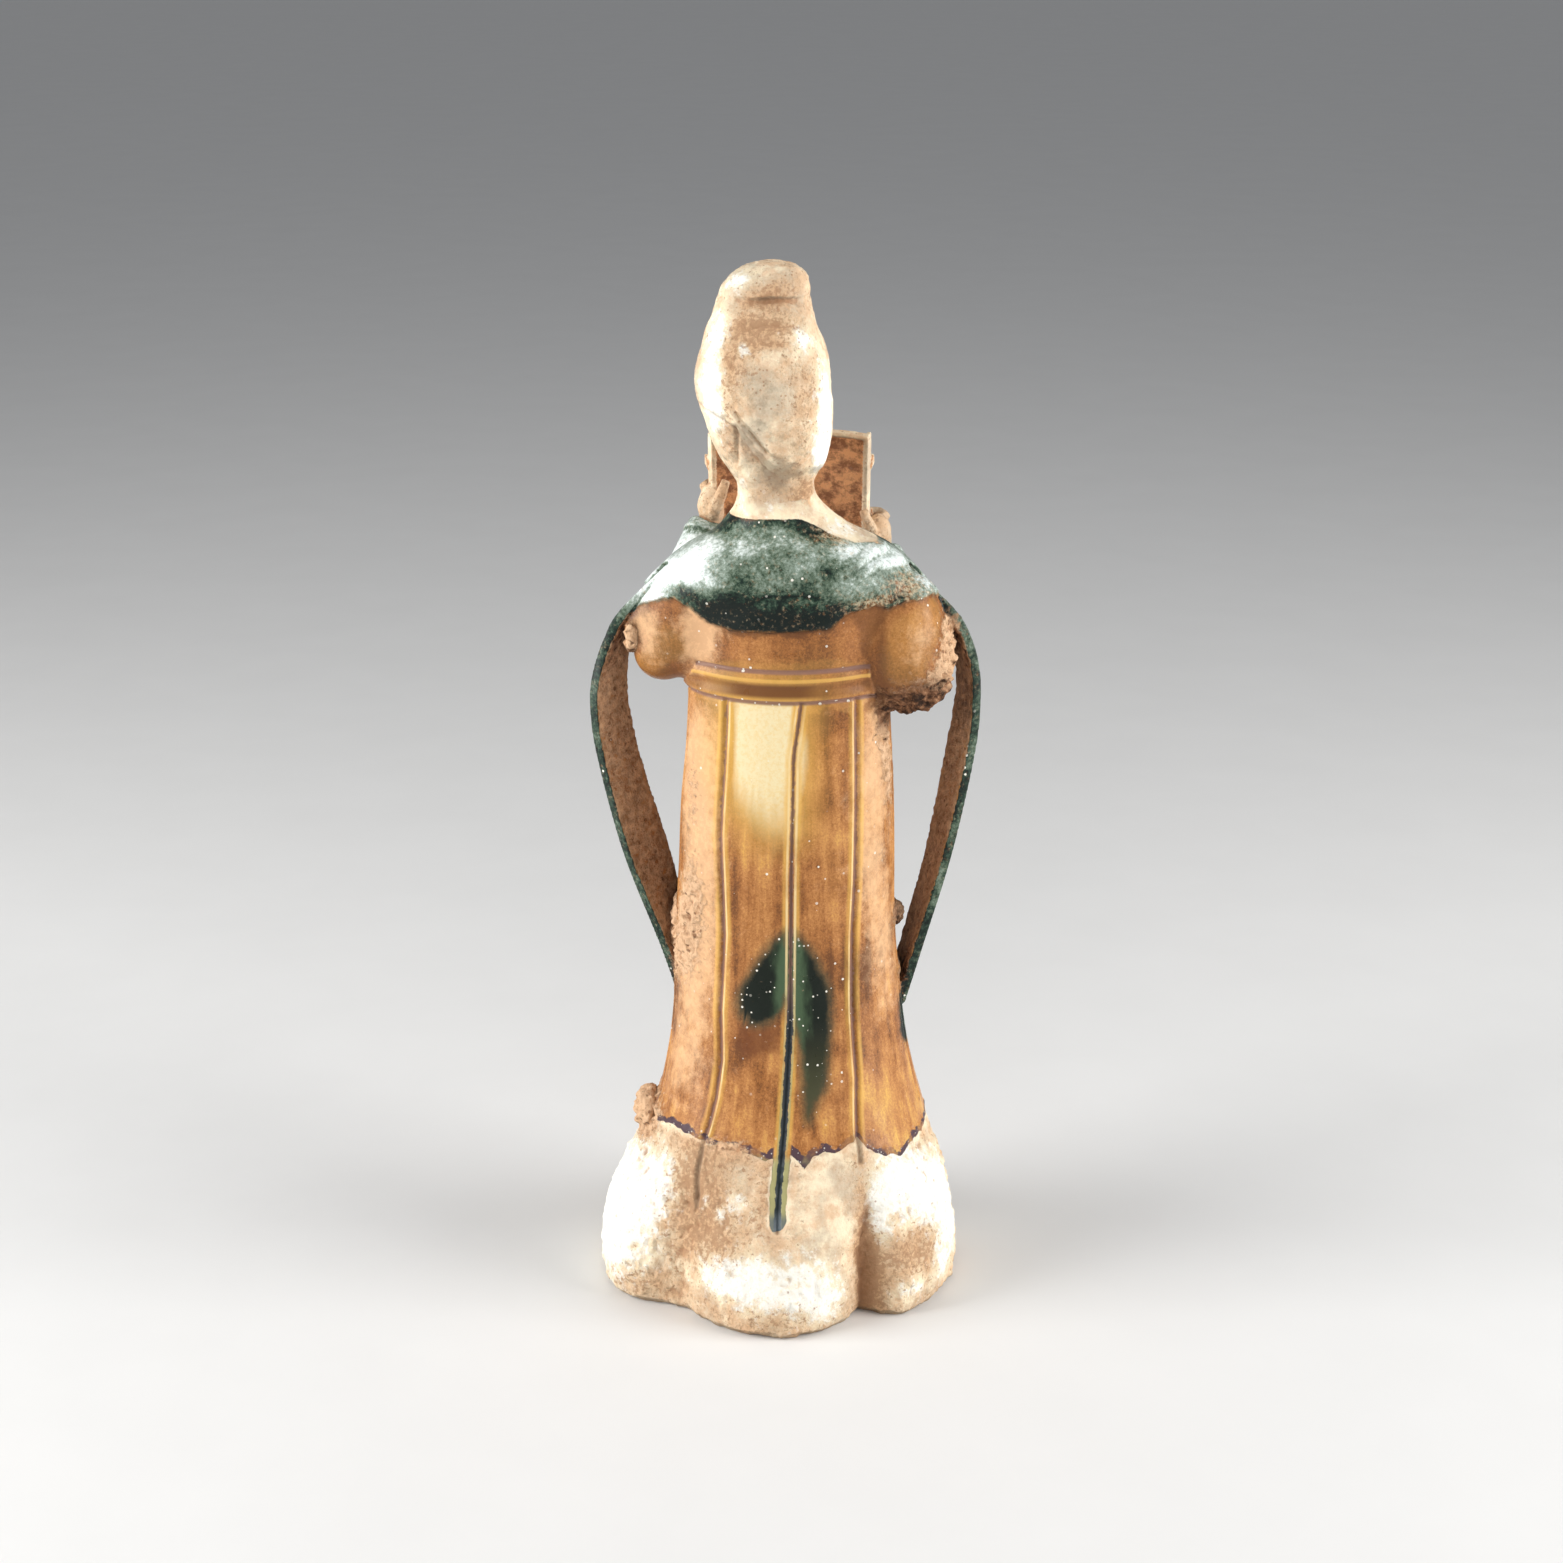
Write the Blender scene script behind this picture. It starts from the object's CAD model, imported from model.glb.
from itertools import product
from math import cos, pi, radians, sin

import bpy
import numpy as np
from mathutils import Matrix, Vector


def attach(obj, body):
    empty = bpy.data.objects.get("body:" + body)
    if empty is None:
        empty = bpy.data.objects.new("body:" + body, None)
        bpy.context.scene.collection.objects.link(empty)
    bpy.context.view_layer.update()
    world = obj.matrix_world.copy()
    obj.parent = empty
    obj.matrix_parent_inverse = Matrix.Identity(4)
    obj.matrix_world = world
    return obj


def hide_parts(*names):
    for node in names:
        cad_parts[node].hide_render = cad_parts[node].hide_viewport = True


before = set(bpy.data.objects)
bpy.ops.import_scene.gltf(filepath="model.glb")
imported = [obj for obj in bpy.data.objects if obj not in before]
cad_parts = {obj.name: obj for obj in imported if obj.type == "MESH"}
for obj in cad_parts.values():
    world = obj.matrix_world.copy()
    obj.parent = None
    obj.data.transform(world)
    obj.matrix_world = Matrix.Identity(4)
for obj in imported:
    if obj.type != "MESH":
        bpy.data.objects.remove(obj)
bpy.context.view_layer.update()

MM = 0.001

# The camera stands behind the figure and a little above its shoulders, and looks down at its back.
# The middle of the lens falls just off the middle of the picture, so the frame is shifted by that.
CAMERA_PLACE = (1.4, 779.8, 397.0)
CAMERA_TILT = 18.4
CAMERA_LENS = 70.55
PICTURE_SIDE = 1563
LENS_AXIS_PIXEL = (780, 794)

bpy.ops.object.camera_add(
    location=Vector(CAMERA_PLACE) * MM,
    rotation=(radians(90 - CAMERA_TILT), 0, radians(180)),
)
camera = bpy.context.object
camera.name = "camera"
camera.data.lens = CAMERA_LENS
camera.data.shift_x = 0.5 - LENS_AXIS_PIXEL[0] / PICTURE_SIDE
camera.data.shift_y = LENS_AXIS_PIXEL[1] / PICTURE_SIDE - 0.5
camera.data.clip_start = 0.01
bpy.context.scene.camera = camera

# The skirt and jacket are one pressing of pale clay, wide and lobed at the hem. The clay is built up
# ring by ring from the ground, and the hem is then pressed in between its lobes.
# Each level: height, half width, reach to the back, reach to the front, middle.
ROBE_LEVELS = [
    (0, 47.4, 47.4, 42.0, 0.3),
    (0.9, 48.6, 48.8, 43.2, 0.3),
    (2.5, 49.2, 49.6, 44.0, 0.3),
    (6, 49.3, 49.8, 44.2, 0.3),
    (12, 49.2, 49.2, 43.6, 0.3),
    (21, 47.4, 46.6, 41.4, 0.2),
    (28.5, 45.2, 43.2, 38.6, -0.6),
    (36, 41.9, 39.2, 35.2, -1.5),
    (43, 38.9, 36.0, 32.2, -1.9),
    (50, 36.8, 33.4, 30.0, -2.3),
    (58, 34.6, 31.0, 27.8, -2.4),
    (72, 32.0, 27.8, 25.2, -2.3),
    (90, 30.3, 25.2, 23.4, -1.9),
    (107, 29.5, 23.6, 22.2, -1.6),
    (135, 28.4, 21.4, 20.6, -2.1),
    (160, 27.0, 19.4, 19.6, -2.4),
    (177, 26.6, 19.0, 19.8, -2.4),
    (190, 26.8, 19.4, 18.6, -2.2),
    (200, 25.6, 18.0, 16.4, -2.0),
    (207, 21.6, 15.4, 14.0, -1.7),
    (212, 16.4, 12.6, 11.8, -1.1),
    (217, 11.8, 10.0, 9.4, -0.1),
    (222, 8.9, 8.2, 8.0, 1.0),
]
ROBE_RING_STEP = 1.6
ROBE_TOP = 221.6
ROBE_SIDES = 240

# Folds that part the hem into lobes: degrees round from the middle of the back at the ground and at
# the flare, depth, degrees that each side's slope takes up, height where it fades out, and how sharp.
HEM_FOLDS = [
    (41, 36, 8.6, 26, 40, 48, 0.35),
    (141, 144, 6.5, 30, 30, 44, 0.6),
    (219, 216, 7.0, 32, 28, 44, 0.6),
    (325, 329, 11.0, 34, 11, 44, 0.8),
]
FLARE_HEIGHT = 52
FOLD_FULL_HEIGHT = 9


def levels_at(rows, places):
    """Every column of a table of levels at the given places, smooth through each row."""
    rows = np.array(rows, float)
    marks, values = rows[:, 0], rows[:, 1:]
    before = np.maximum(np.arange(len(rows)) - 1, 0)
    after = np.minimum(np.arange(len(rows)) + 1, len(rows) - 1)
    slopes = (values[after] - values[before]) / (marks[after] - marks[before])[:, None]
    places = np.clip(places, marks[0], marks[-1])
    low = np.clip(np.searchsorted(marks, places, side="right") - 1, 0, len(marks) - 2)
    span = (marks[low + 1] - marks[low])[:, None]
    t = (places - marks[low])[:, None] / span
    start = values[low] * (1 + 2 * t) * (1 - t) ** 2 + slopes[low] * span * t * (1 - t) ** 2
    end = values[low + 1] * t * t * (3 - 2 * t) + slopes[low + 1] * span * t * t * (t - 1)
    return start + end


def eased(value, low, high):
    """0 below low, 1 above high, and a soft step between them."""
    t = np.clip((value - low) / (high - low), 0, 1)
    return t * t * (3 - 2 * t)


def points_of(form):
    """A form's points in millimetres."""
    points = np.empty(len(form.data.vertices) * 3)
    form.data.vertices.foreach_get("co", points)
    return points.reshape(-1, 3) / MM


def set_points(form, points):
    form.data.vertices.foreach_set("co", (points * MM).ravel())
    form.data.update()


def mark(form, name):
    """Remembers which part of the figure a form's skin belongs to."""
    field = form.data.attributes.new(name, "FLOAT", "POINT")
    field.data.foreach_set("value", np.ones(len(form.data.vertices)))


def deselect():
    bpy.ops.object.select_all(action="DESELECT")


def stacked(name, levels, heights, sides):
    """A disc at the lowest level, extruded upwards ring by ring and resized to each level."""
    deselect()
    half, back, front, middle = levels_at(levels, np.array(heights, float)).T
    deep, centre = (back + front) / 2, (back - front) / 2
    spots = [Vector(spot) * MM for spot in zip(middle, centre, heights)]
    bpy.ops.mesh.primitive_circle_add(vertices=sides, radius=MM, fill_type="NGON", location=spots[0])
    form = bpy.context.object
    form.name = name
    bpy.ops.object.mode_set(mode="EDIT")
    bpy.ops.mesh.select_all(action="SELECT")
    bpy.ops.transform.resize(value=(half[0], deep[0], 1), center_override=spots[0])
    for i in range(1, len(spots)):
        bpy.ops.mesh.extrude_region_move(TRANSFORM_OT_translate={"value": spots[i] - spots[i - 1]})
        widening = (half[i] / half[i - 1], deep[i] / deep[i - 1], 1)
        bpy.ops.transform.resize(value=widening, center_override=spots[i])
    bpy.ops.object.mode_set(mode="OBJECT")
    bpy.ops.object.transform_apply(location=True, rotation=True, scale=True)
    return form


robe = stacked("robe", ROBE_LEVELS, np.arange(0, ROBE_TOP, ROBE_RING_STEP), ROBE_SIDES)
places = points_of(robe)
half, back, front, middle = levels_at(ROBE_LEVELS, places[:, 2]).T
turn = np.arctan2((places[:, 0] - middle) / half, (places[:, 1] - (back - front) / 2) * 2 / (back + front))
pressed = np.zeros(len(places))
for ground, flare, depth, left, right, top, cusp in HEM_FOLDS:
    line = ground + (flare - ground) * np.minimum(places[:, 2] / FLARE_HEIGHT, 1)
    off = (np.degrees(turn) - line + 540) % 360 - 180
    share = np.minimum(np.abs(off) / np.where(off > 0, left, right), 1)
    sharp, soft = (1 - share) ** 2, 0.5 + 0.5 * np.cos(pi * share)
    pressed += depth * (1 - eased(places[:, 2], FOLD_FULL_HEIGHT, top)) * (soft + (sharp - soft) * cusp)
places[:, 0] -= np.sin(turn) * pressed
places[:, 1] -= np.cos(turn) * pressed
set_points(robe, places)
mark(robe, "robe")

# The shoulders run out to either side under the shawl, and the sleeves hang from them to the elbow
# and rise again to the pipes. They are rolls of clay pinched onto the jacket.
# Shoulder levels: distance out, top, underside, reach to the back, reach to the front.
SHOULDER_MIDDLE = -2.3
SHOULDER_LEVELS = [
    (0, 216.0, 184, 18.8, 15.6),
    (12, 213.4, 184, 17.8, 14.6),
    (20, 209.4, 184, 15.6, 13.2),
    (26, 205.8, 185, 12.8, 11.8),
    (31, 201.6, 186, 9.8, 10.6),
    (36, 195.6, 186.4, 6.8, 10.0),
    (40, 190.4, 184.6, 4.6, 9.4),
    (43, 186.6, 182.6, 3.0, 8.0),
]
# Sleeve routes: step, the middle's place, and the sleeve's radius.
SLEEVES = {
    "left_upper_sleeve": [(0, 18, -2, 200, 6.5), (1, 27.6, -1, 190, 9.0), (2, 30.4, -1.5, 177.4, 8.4)],
    "left_fore_sleeve": [(0, 30.4, -1.5, 177.4, 8.4), (1, 28.6, -10, 182, 7.4), (2, 19.6, -27.5, 204.5, 4.4)],
    "right_upper_sleeve": [(0, -22, 0, 198, 6.5), (1, -31.2, 4, 187, 9.0), (2, -36, 5, 172, 8.8)],
    "right_fore_sleeve": [(0, -36, 5, 172, 8.8), (1, -34.6, -8, 174, 7.8), (2, -28.2, -30.5, 196, 4.6)],
}
# Clay filled in between the back and the sleeves: place, half sizes and turn.
ARMPITS = {
    "left_armpit": ((24.5, -0.5, 184), (12.6, 11.4, 13.0), (0, 0.10, 0)),
    "right_armpit": ((-32, 4.0, 181), (11.0, 12.4, 18.0), (0, -0.16, 0)),
}
# Cuffs: the middle, the way the wrist points, the radius and the roll's thickness.
CUFFS = {
    "left_cuff": ((20.4, -25.8, 202.8), (-0.32, -0.69, 0.8), 4.0, 0.95),
    "right_cuff": ((-28.8, -28.6, 194.1), (0.22, -0.8, 0.78), 4.2, 0.95),
}


def rolled(name, rings):
    """A slab of clay rolled into a tube: the grid's columns go round each ring, and its ends are shut."""
    deselect()
    rings = np.concatenate([rings[:1] * 0 + rings[0].mean(0), rings, rings[:1] * 0 + rings[-1].mean(0)])
    rings = np.concatenate([rings, rings[:, :1]], axis=1)
    rows, columns = rings.shape[:2]
    bpy.ops.mesh.primitive_grid_add(x_subdivisions=columns - 1, y_subdivisions=rows - 1, size=MM)
    form = bpy.context.object
    form.name = name
    set_points(form, rings.reshape(-1, 3))
    bpy.ops.object.mode_set(mode="EDIT")
    bpy.ops.mesh.select_all(action="SELECT")
    bpy.ops.mesh.remove_doubles(threshold=0.01 * MM)
    bpy.ops.mesh.normals_make_consistent(inside=False)
    bpy.ops.object.mode_set(mode="OBJECT")
    return form


def limb(name, route, sides=36, steps=28, squeeze=1.0, over_axis=(1, 0, 0)):
    """A round roll of clay along a route, with its radius at each step of the route."""
    places = np.linspace(0, route[-1][0], steps + 1)
    spine = levels_at(route, places)
    along = np.gradient(spine[:, :3], axis=0)
    aside = np.cross(np.array(over_axis, float), along)
    aside /= np.linalg.norm(aside, axis=1)[:, None]
    over = np.cross(along, aside)
    over /= np.linalg.norm(over, axis=1)[:, None]
    around = np.arange(sides) * 2 * pi / sides
    radius = spine[:, 3][:, None, None]
    swing = aside[:, None] * np.cos(around)[:, None] * squeeze + over[:, None] * np.sin(around)[:, None]
    return rolled(name, spine[:, None, :3] + radius * swing)


def ball(name, place, size, turned=(0, 0, 0)):
    """A pinched ball of clay, by its half sizes."""
    deselect()
    bpy.ops.mesh.primitive_uv_sphere_add(
        segments=32, ring_count=20, radius=MM, location=Vector(place) * MM, rotation=turned, scale=size,
    )
    form = bpy.context.object
    form.name = name
    bpy.ops.object.transform_apply(location=True, rotation=True, scale=True)
    return form


out = np.linspace(-43, 43, 58)
top, under, rear, fore = levels_at(SHOULDER_LEVELS, np.abs(out)).T
around = np.arange(56) * 2 * pi / 56
shoulder_rings = np.stack([
    np.repeat(SHOULDER_MIDDLE + out[:, None], len(around), axis=1),
    ((rear - fore) / 2)[:, None] + ((rear + fore) / 2)[:, None] * np.cos(around),
    ((top + under) / 2)[:, None] + ((top - under) / 2)[:, None] * np.sin(around),
], axis=2)
jacket_forms = [rolled("shoulders", shoulder_rings)]
jacket_forms += [limb(name, route) for name, route in SLEEVES.items()]
for side in ("left", "right"):
    *elbow, radius = SLEEVES[f"{side}_upper_sleeve"][-1][1:]
    jacket_forms.append(ball(f"{side}_elbow", elbow, (radius, radius, radius)))
jacket_forms += [ball(name, place, size, turned) for name, (place, size, turned) in ARMPITS.items()]
for name, (place, way, radius, roll) in CUFFS.items():
    deselect()
    bpy.ops.mesh.primitive_torus_add(
        major_radius=radius * MM, minor_radius=roll * MM, major_segments=40, minor_segments=14,
        location=Vector(place) * MM, rotation=Vector(way).to_track_quat("Z", "Y").to_euler(),
    )
    cuff = bpy.context.object
    cuff.name = name
    bpy.ops.object.transform_apply(location=True, rotation=True, scale=True)
    jacket_forms.append(cuff)
for form in jacket_forms:
    mark(form, "sleeve")

# The two ends of the shawl hang beside the skirt as flat bands of clay, bowed out from the elbows
# and luted to the skirt at their feet. Each band is a strip between its rear and its front edge.
BAND_THICKNESS = 2.6
LEFT_BAND = {
    "rear": [(28.6, 4, 201), (40.9, 3, 188.6), (45, 2.5, 181.6), (48.4, 2, 172), (49.5, 2, 163), (48, 2, 149),
             (41.5, 2, 121.7), (31.3, 2, 94), (26.4, 2, 79)],
    "front": [(27, -8, 199.4), (36.8, -9.5, 188.3), (40.4, -9, 180), (41.8, -8.5, 170), (41.4, -8, 161),
              (38.6, -8, 146), (30.6, -8, 118.2), (26.4, -8, 98), (24.6, -8, 85)],
}
RIGHT_BAND = {
    "rear": [(-33.2, 4, 200.8), (-44.5, 3, 189), (-48.6, 2.5, 183), (-51.4, 2, 174.4), (-52.2, 2, 164),
             (-50.9, 2, 149), (-45.4, 2, 121.7), (-37.6, 2, 94), (-33, 2, 78)],
    "front": [(-32, -8, 198.8), (-42.6, -9.5, 187.6), (-45.8, -9, 181.4), (-48, -9, 172), (-48.3, -9, 163),
              (-45.6, -9, 146), (-40.7, -9, 117.8), (-33.7, -9, 89.7), (-30.6, -9, 77)],
}


def hanging_band(name, band):
    """A strip of clay between the routes of its two edges, thickened to both sides."""
    deselect()
    steps, across = 90, 6
    route = lambda points: levels_at([(i, *p) for i, p in enumerate(points)], np.linspace(0, 8, steps + 1))
    rear, fore = route(band["rear"]), route(band["front"])
    share = np.linspace(0, 1, across + 1)[None, :, None]
    strip = rear[:, None] * (1 - share) + fore[:, None] * share
    bpy.ops.mesh.primitive_grid_add(x_subdivisions=across, y_subdivisions=steps, size=MM)
    form = bpy.context.object
    form.name = name
    set_points(form, strip.reshape(-1, 3))
    solidify = form.modifiers.new("thickness", "SOLIDIFY")
    solidify.thickness = BAND_THICKNESS * MM
    solidify.offset = 0
    bpy.ops.object.modifier_apply(modifier=solidify.name)
    mark(form, "hanging")
    return form


hanging_bands = [hanging_band("left_band", LEFT_BAND), hanging_band("right_band", RIGHT_BAND)]

# The bare neck and head are pale clay. The face is worked with a few soft pads and tool lines.
# Each level: height, half width, reach to the back, reach to the front, middle.
NECK_LEVELS = [
    (206, 9.8, 9.0, 8.6, 0.2), (218, 9.9, 9.2, 8.4, 0.8), (224, 9.8, 9.4, 8.2, 1.3), (236, 10, 9.8, 8, 1.8),
]
FACE_LEVELS = [
    (222.6, 4.0, -4.0, 15.0, 1.6),
    (224.2, 7.4, 0.5, 17.2, 1.7),
    (228, 10.6, 7.0, 18.6, 1.9),
    (233, 12.9, 11.5, 19.4, 2.1),
    (239, 14.2, 13.5, 20.0, 2.5),
    (247, 14.8, 14.5, 20.2, 2.9),
    (255, 14.2, 13.5, 18.8, 3.1),
    (261, 11.6, 10.0, 15.6, 3.2),
    (265, 7.0, 6.0, 10.0, 3.2),
]
FACE_MIDDLE = 1.9
FACE_FRONT = -7
# Pads pressed on (or in, where the height is negative): aside, height up the face, spread each way,
# and relief. Those aside from the middle are made on both halves of the face.
FACE_PADS = [
    (5.4, 242.0, 4.0, 2.7, -1.15),
    (5.8, 246.2, 4.6, 1.3, 0.3),
    (5.5, 241.3, 3.0, 1.4, 1.35),
    (1.75, 235.7, 0.85, 0.85, 1.1),
    (6.8, 235.4, 3.8, 3.8, 0.8),
    (0, 233.5, 0.5, 0.9, -0.3),
    (0, 231.6, 4.2, 2.6, 0.9),
    (0.95, 232.5, 1.3, 0.6, 0.6),
    (0, 230.5, 1.9, 0.75, 0.85),
    (0, 229.1, 2.4, 0.7, -0.5),
    (0, 226.4, 3.0, 1.9, 0.9),
]
# The nose's height along its ridge.
NOSE_RIDGE = [
    (233.4, 0), (234.3, 0.5), (235.2, 2.9), (236.1, 3.5), (237.4, 3.1), (240, 2.0), (243, 0.9), (246, 0),
]

neck = stacked("neck", NECK_LEVELS, np.arange(206, 236.1, 2), 80)
face = stacked("face", FACE_LEVELS, np.arange(222.6, 265.1, 0.5), 150)
places = points_of(face)
aside, up = np.abs(places[:, 0] - FACE_MIDDLE), places[:, 2]
relief = np.zeros(len(places))
for across, height, wide, tall, rise in FACE_PADS:
    relief += rise * np.exp(-((aside - across) / wide) ** 2 - ((up - height) / tall) ** 2)
nose_width = np.interp(up, [235, 237, 244], [1.9, 1.5, 1.2])
relief += np.interp(up, *zip(*NOSE_RIDGE)) * np.exp(-(aside / nose_width) ** 2)
places[:, 1] -= relief * eased(-places[:, 1], -FACE_FRONT, -FACE_FRONT + 3)
set_points(face, places)
mark(neck, "neck")
mark(face, "head")

# The hair is combed up off the face into a high knot that leans to the figure's right, with a ring
# round its foot. It is a cap of clay over the head, open in front of the face.
HAIR_LEVELS = [
    (221.5, 8.8, 8.8, 0.4, 1.2),
    (224, 10.6, 9.9, 1.6, 1.3),
    (227.5, 12.9, 11.6, 4.4, 1.7),
    (231.3, 14.6, 13.4, 8.2, 2.1),
    (236, 15.9, 15.2, 12.2, 2.5),
    (240.5, 16.8, 16.6, 14.6, 3.1),
    (247, 17.5, 17.4, 16.4, 4.2),
    (253, 17.3, 16.8, 16.6, 4.4),
    (259, 15.7, 15.0, 15.4, 4.2),
    (264, 13.9, 12.4, 13.6, 4.5),
    (267.2, 12.8, 11.0, 12.4, 4.3),
    (270.6, 11.9, 9.6, 11.6, 4.1),
    (271.3, 11.5, 8.9, 11.2, 4.0),
    (272.2, 11.7, 9.9, 11.4, 3.8),
    (274.6, 10.8, 9.4, 11.0, 3.3),
    (277.4, 8.8, 7.4, 9.2, 2.3),
    (279.3, 5.4, 4.4, 6.0, 1.9),
    (280, 1.6, 1.0, 2.0, 1.8),
]
FACE_OPENING = ((1.9, -22, 238.6), (12.8, 17, 17))

hair = stacked("hair", HAIR_LEVELS, np.append(np.arange(221.5, 279.9, 0.6), 280), 150)
opening = ball("face_opening", *FACE_OPENING)
deselect()
bpy.context.view_layer.objects.active = hair
cut = hair.modifiers.new("cut", "BOOLEAN")
cut.operation = "DIFFERENCE"
cut.object = opening
bpy.ops.object.modifier_apply(modifier=cut.name)
bpy.data.objects.remove(opening)
mark(hair, "hair")

# The panpipes are twelve thin tubes side by side in a shallow curve, backed by a thin wall and held
# by two straps. They stand upright at the mouth with their feet tipped forward.
PIPE_COUNT = 12
PIPE_SPAN = 42
PIPE_BEND = 74
PIPE_LENGTH = 37
PIPE_WALL = 3.0
PIPE_RADIUS = 1.78
PIPE_TILT = 24
RIM_THICKNESS = 1.4
RIM_WIDTH = 1.3
MOUTH_DROP = 2.6
MOUTH_DEPTH = 1.6
MOUTH_LIP = 0.7
PIPES_TOP = (-2.6, -20.4, 230.6)
# Straps: height of the upper edge and width.
STRAPS = [(-9.5, 3.2), (-27.5, 3.2)]
STRAP_OVERHANG = 0.004
PIPE_HALF = np.arcsin(PIPE_SPAN / 2 / PIPE_BEND)


def pipes_place(angle, out, height):
    """A place on the pipes: its angle round their curve, how far out it lies, and its height."""
    radius = PIPE_BEND + out
    x = np.sin(angle) * radius
    y = PIPE_BEND * np.cos(PIPE_HALF) - np.cos(angle) * radius
    tilt = radians(-PIPE_TILT)
    tipped = (x, y * cos(tilt) - height * sin(tilt), y * sin(tilt) + height * cos(tilt))
    return np.stack(np.broadcast_arrays(*tipped), axis=-1) + PIPES_TOP


def curved_wall(name, inner, outer, top, bottom, start=-PIPE_HALF, end=PIPE_HALF):
    """A wall that follows the pipes' curve, between two faces, two heights and two angles."""
    sweep = np.linspace(start, end, 40)
    corners = [(inner, top), (outer, top), (outer, bottom), (inner, bottom)]
    rings = np.stack([pipes_place(sweep, out, height) for out, height in corners], axis=1)
    return rolled(name, rings)


pipe_forms = [
    curved_wall("back_plate", 0, RIM_THICKNESS, 0, -PIPE_LENGTH),
    curved_wall("pipe_wall", 0, PIPE_WALL, -MOUTH_DROP, -PIPE_LENGTH),
]
rim_turn = RIM_WIDTH / PIPE_BEND
rims = [
    curved_wall("top_rim", -0.5, RIM_THICKNESS, 0.1, -RIM_WIDTH),
    curved_wall("left_rim", -0.5, PIPE_WALL, -0.6, -PIPE_LENGTH, start=PIPE_HALF - rim_turn),
    curved_wall("right_rim", -0.5, PIPE_WALL, -0.6, -PIPE_LENGTH, end=rim_turn - PIPE_HALF),
]
for number, (height, tall) in enumerate(STRAPS):
    strap = curved_wall(
        f"strap_{number}", PIPE_WALL - 0.5, PIPE_WALL + PIPE_RADIUS + 0.9, height, height - tall,
        -PIPE_HALF - STRAP_OVERHANG, PIPE_HALF + STRAP_OVERHANG,
    )
    pipe_forms.append(strap)
for number in range(PIPE_COUNT):
    angle = PIPE_HALF * ((number + 0.5) * 2 / PIPE_COUNT - 1)
    foot, crown = (pipes_place(angle, PIPE_WALL, height) for height in (-PIPE_LENGTH, -MOUTH_DROP))
    deselect()
    bpy.ops.mesh.primitive_cylinder_add(
        vertices=20, radius=PIPE_RADIUS * MM, depth=(PIPE_LENGTH - MOUTH_DROP) * MM,
        location=(foot + crown) / 2 * MM, rotation=(radians(-PIPE_TILT), 0, 0),
    )
    tube = bpy.context.object
    tube.name = f"tube_{number}"
    bpy.ops.object.mode_set(mode="EDIT")
    bpy.ops.mesh.select_all(action="DESELECT")
    bpy.ops.object.mode_set(mode="OBJECT")
    mouth = max(tube.data.polygons, key=lambda face: (len(face.vertices), face.center.z))
    mouth.select = True
    bpy.ops.object.mode_set(mode="EDIT")
    bpy.ops.mesh.select_mode(type="FACE")
    bpy.ops.mesh.inset(thickness=MOUTH_LIP * MM)
    sink = pipes_place(angle, 0, -MOUTH_DEPTH) - pipes_place(angle, 0, 0)
    bpy.ops.mesh.extrude_region_move(TRANSFORM_OT_translate={"value": Vector(sink) * MM})
    bpy.ops.mesh.select_mode(type="VERT")
    bpy.ops.object.mode_set(mode="OBJECT")
    bpy.ops.object.transform_apply(location=True, rotation=True, scale=True)
    pipe_forms.append(tube)
for form in pipe_forms:
    mark(form, "pipes")
for rim in rims:
    mark(rim, "rim")

# Each hand closes on one edge of the pipes, with the palm outside, four fingers in front and the
# thumb behind. They are the same pale clay, rolled thin and pinched on.
HANDS = {"left": (1, (18.0, -28.4, 209.5)), "right": (-1, (-26.2, -32.4, 200.5))}
FINGER_RADIUS = 1.45
# Finger routes from the palm, for the figure's left hand: place and share of the finger's radius.
FINGER_ROUTE = [
    (0, 2.6, -3.0, 0, 1.0), (1, 0.6, -6.6, 0.4, 1.05), (2, -4.0, -7.6, 0.2, 1.0),
    (3, -8.2, -6.4, -0.6, 0.8),
]
THUMB_ROUTE = [
    (0, 1.0, 2.4, -3.0, 1.3), (1, -0.6, 4.8, 1.0, 1.2), (2, -2.4, 5.4, 5.4, 1.05), (3, -3.6, 5.2, 8.6, 0.8),
]

hand_forms = []
for name, (side, (x, y, z)) in HANDS.items():
    hand_forms.append(ball(f"{name}_palm", (x + side * 0.6, y, z), (3.6, 5.2, 6.4)))
    thumb = [(t, x + side * a, y + b, z + c, r * FINGER_RADIUS) for t, a, b, c, r in THUMB_ROUTE]
    hand_forms.append(limb(f"{name}_thumb", thumb, sides=16, steps=14))
    for n in range(4):
        lift, lean = 4.8 - n * 3.0, -n * 1.25
        route = [
            (t, x + side * a, y + b + lean, z + c + lift, r * FINGER_RADIUS) for t, a, b, c, r in FINGER_ROUTE
        ]
        hand_forms.append(limb(f"{name}_finger_{n}", route, sides=16, steps=14, over_axis=(0, 0, 1)))
for form in hand_forms:
    mark(form, "hand")

# The toes of two shoes show under the front of the hem, cut level with the ground.
shoes = [ball(name, (x, -38.5, 4.6), (7.2, 11, 6.4)) for name, x in (("left_shoe", 13), ("right_shoe", -13))]
for shoe in shoes:
    mark(shoe, "robe")

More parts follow.
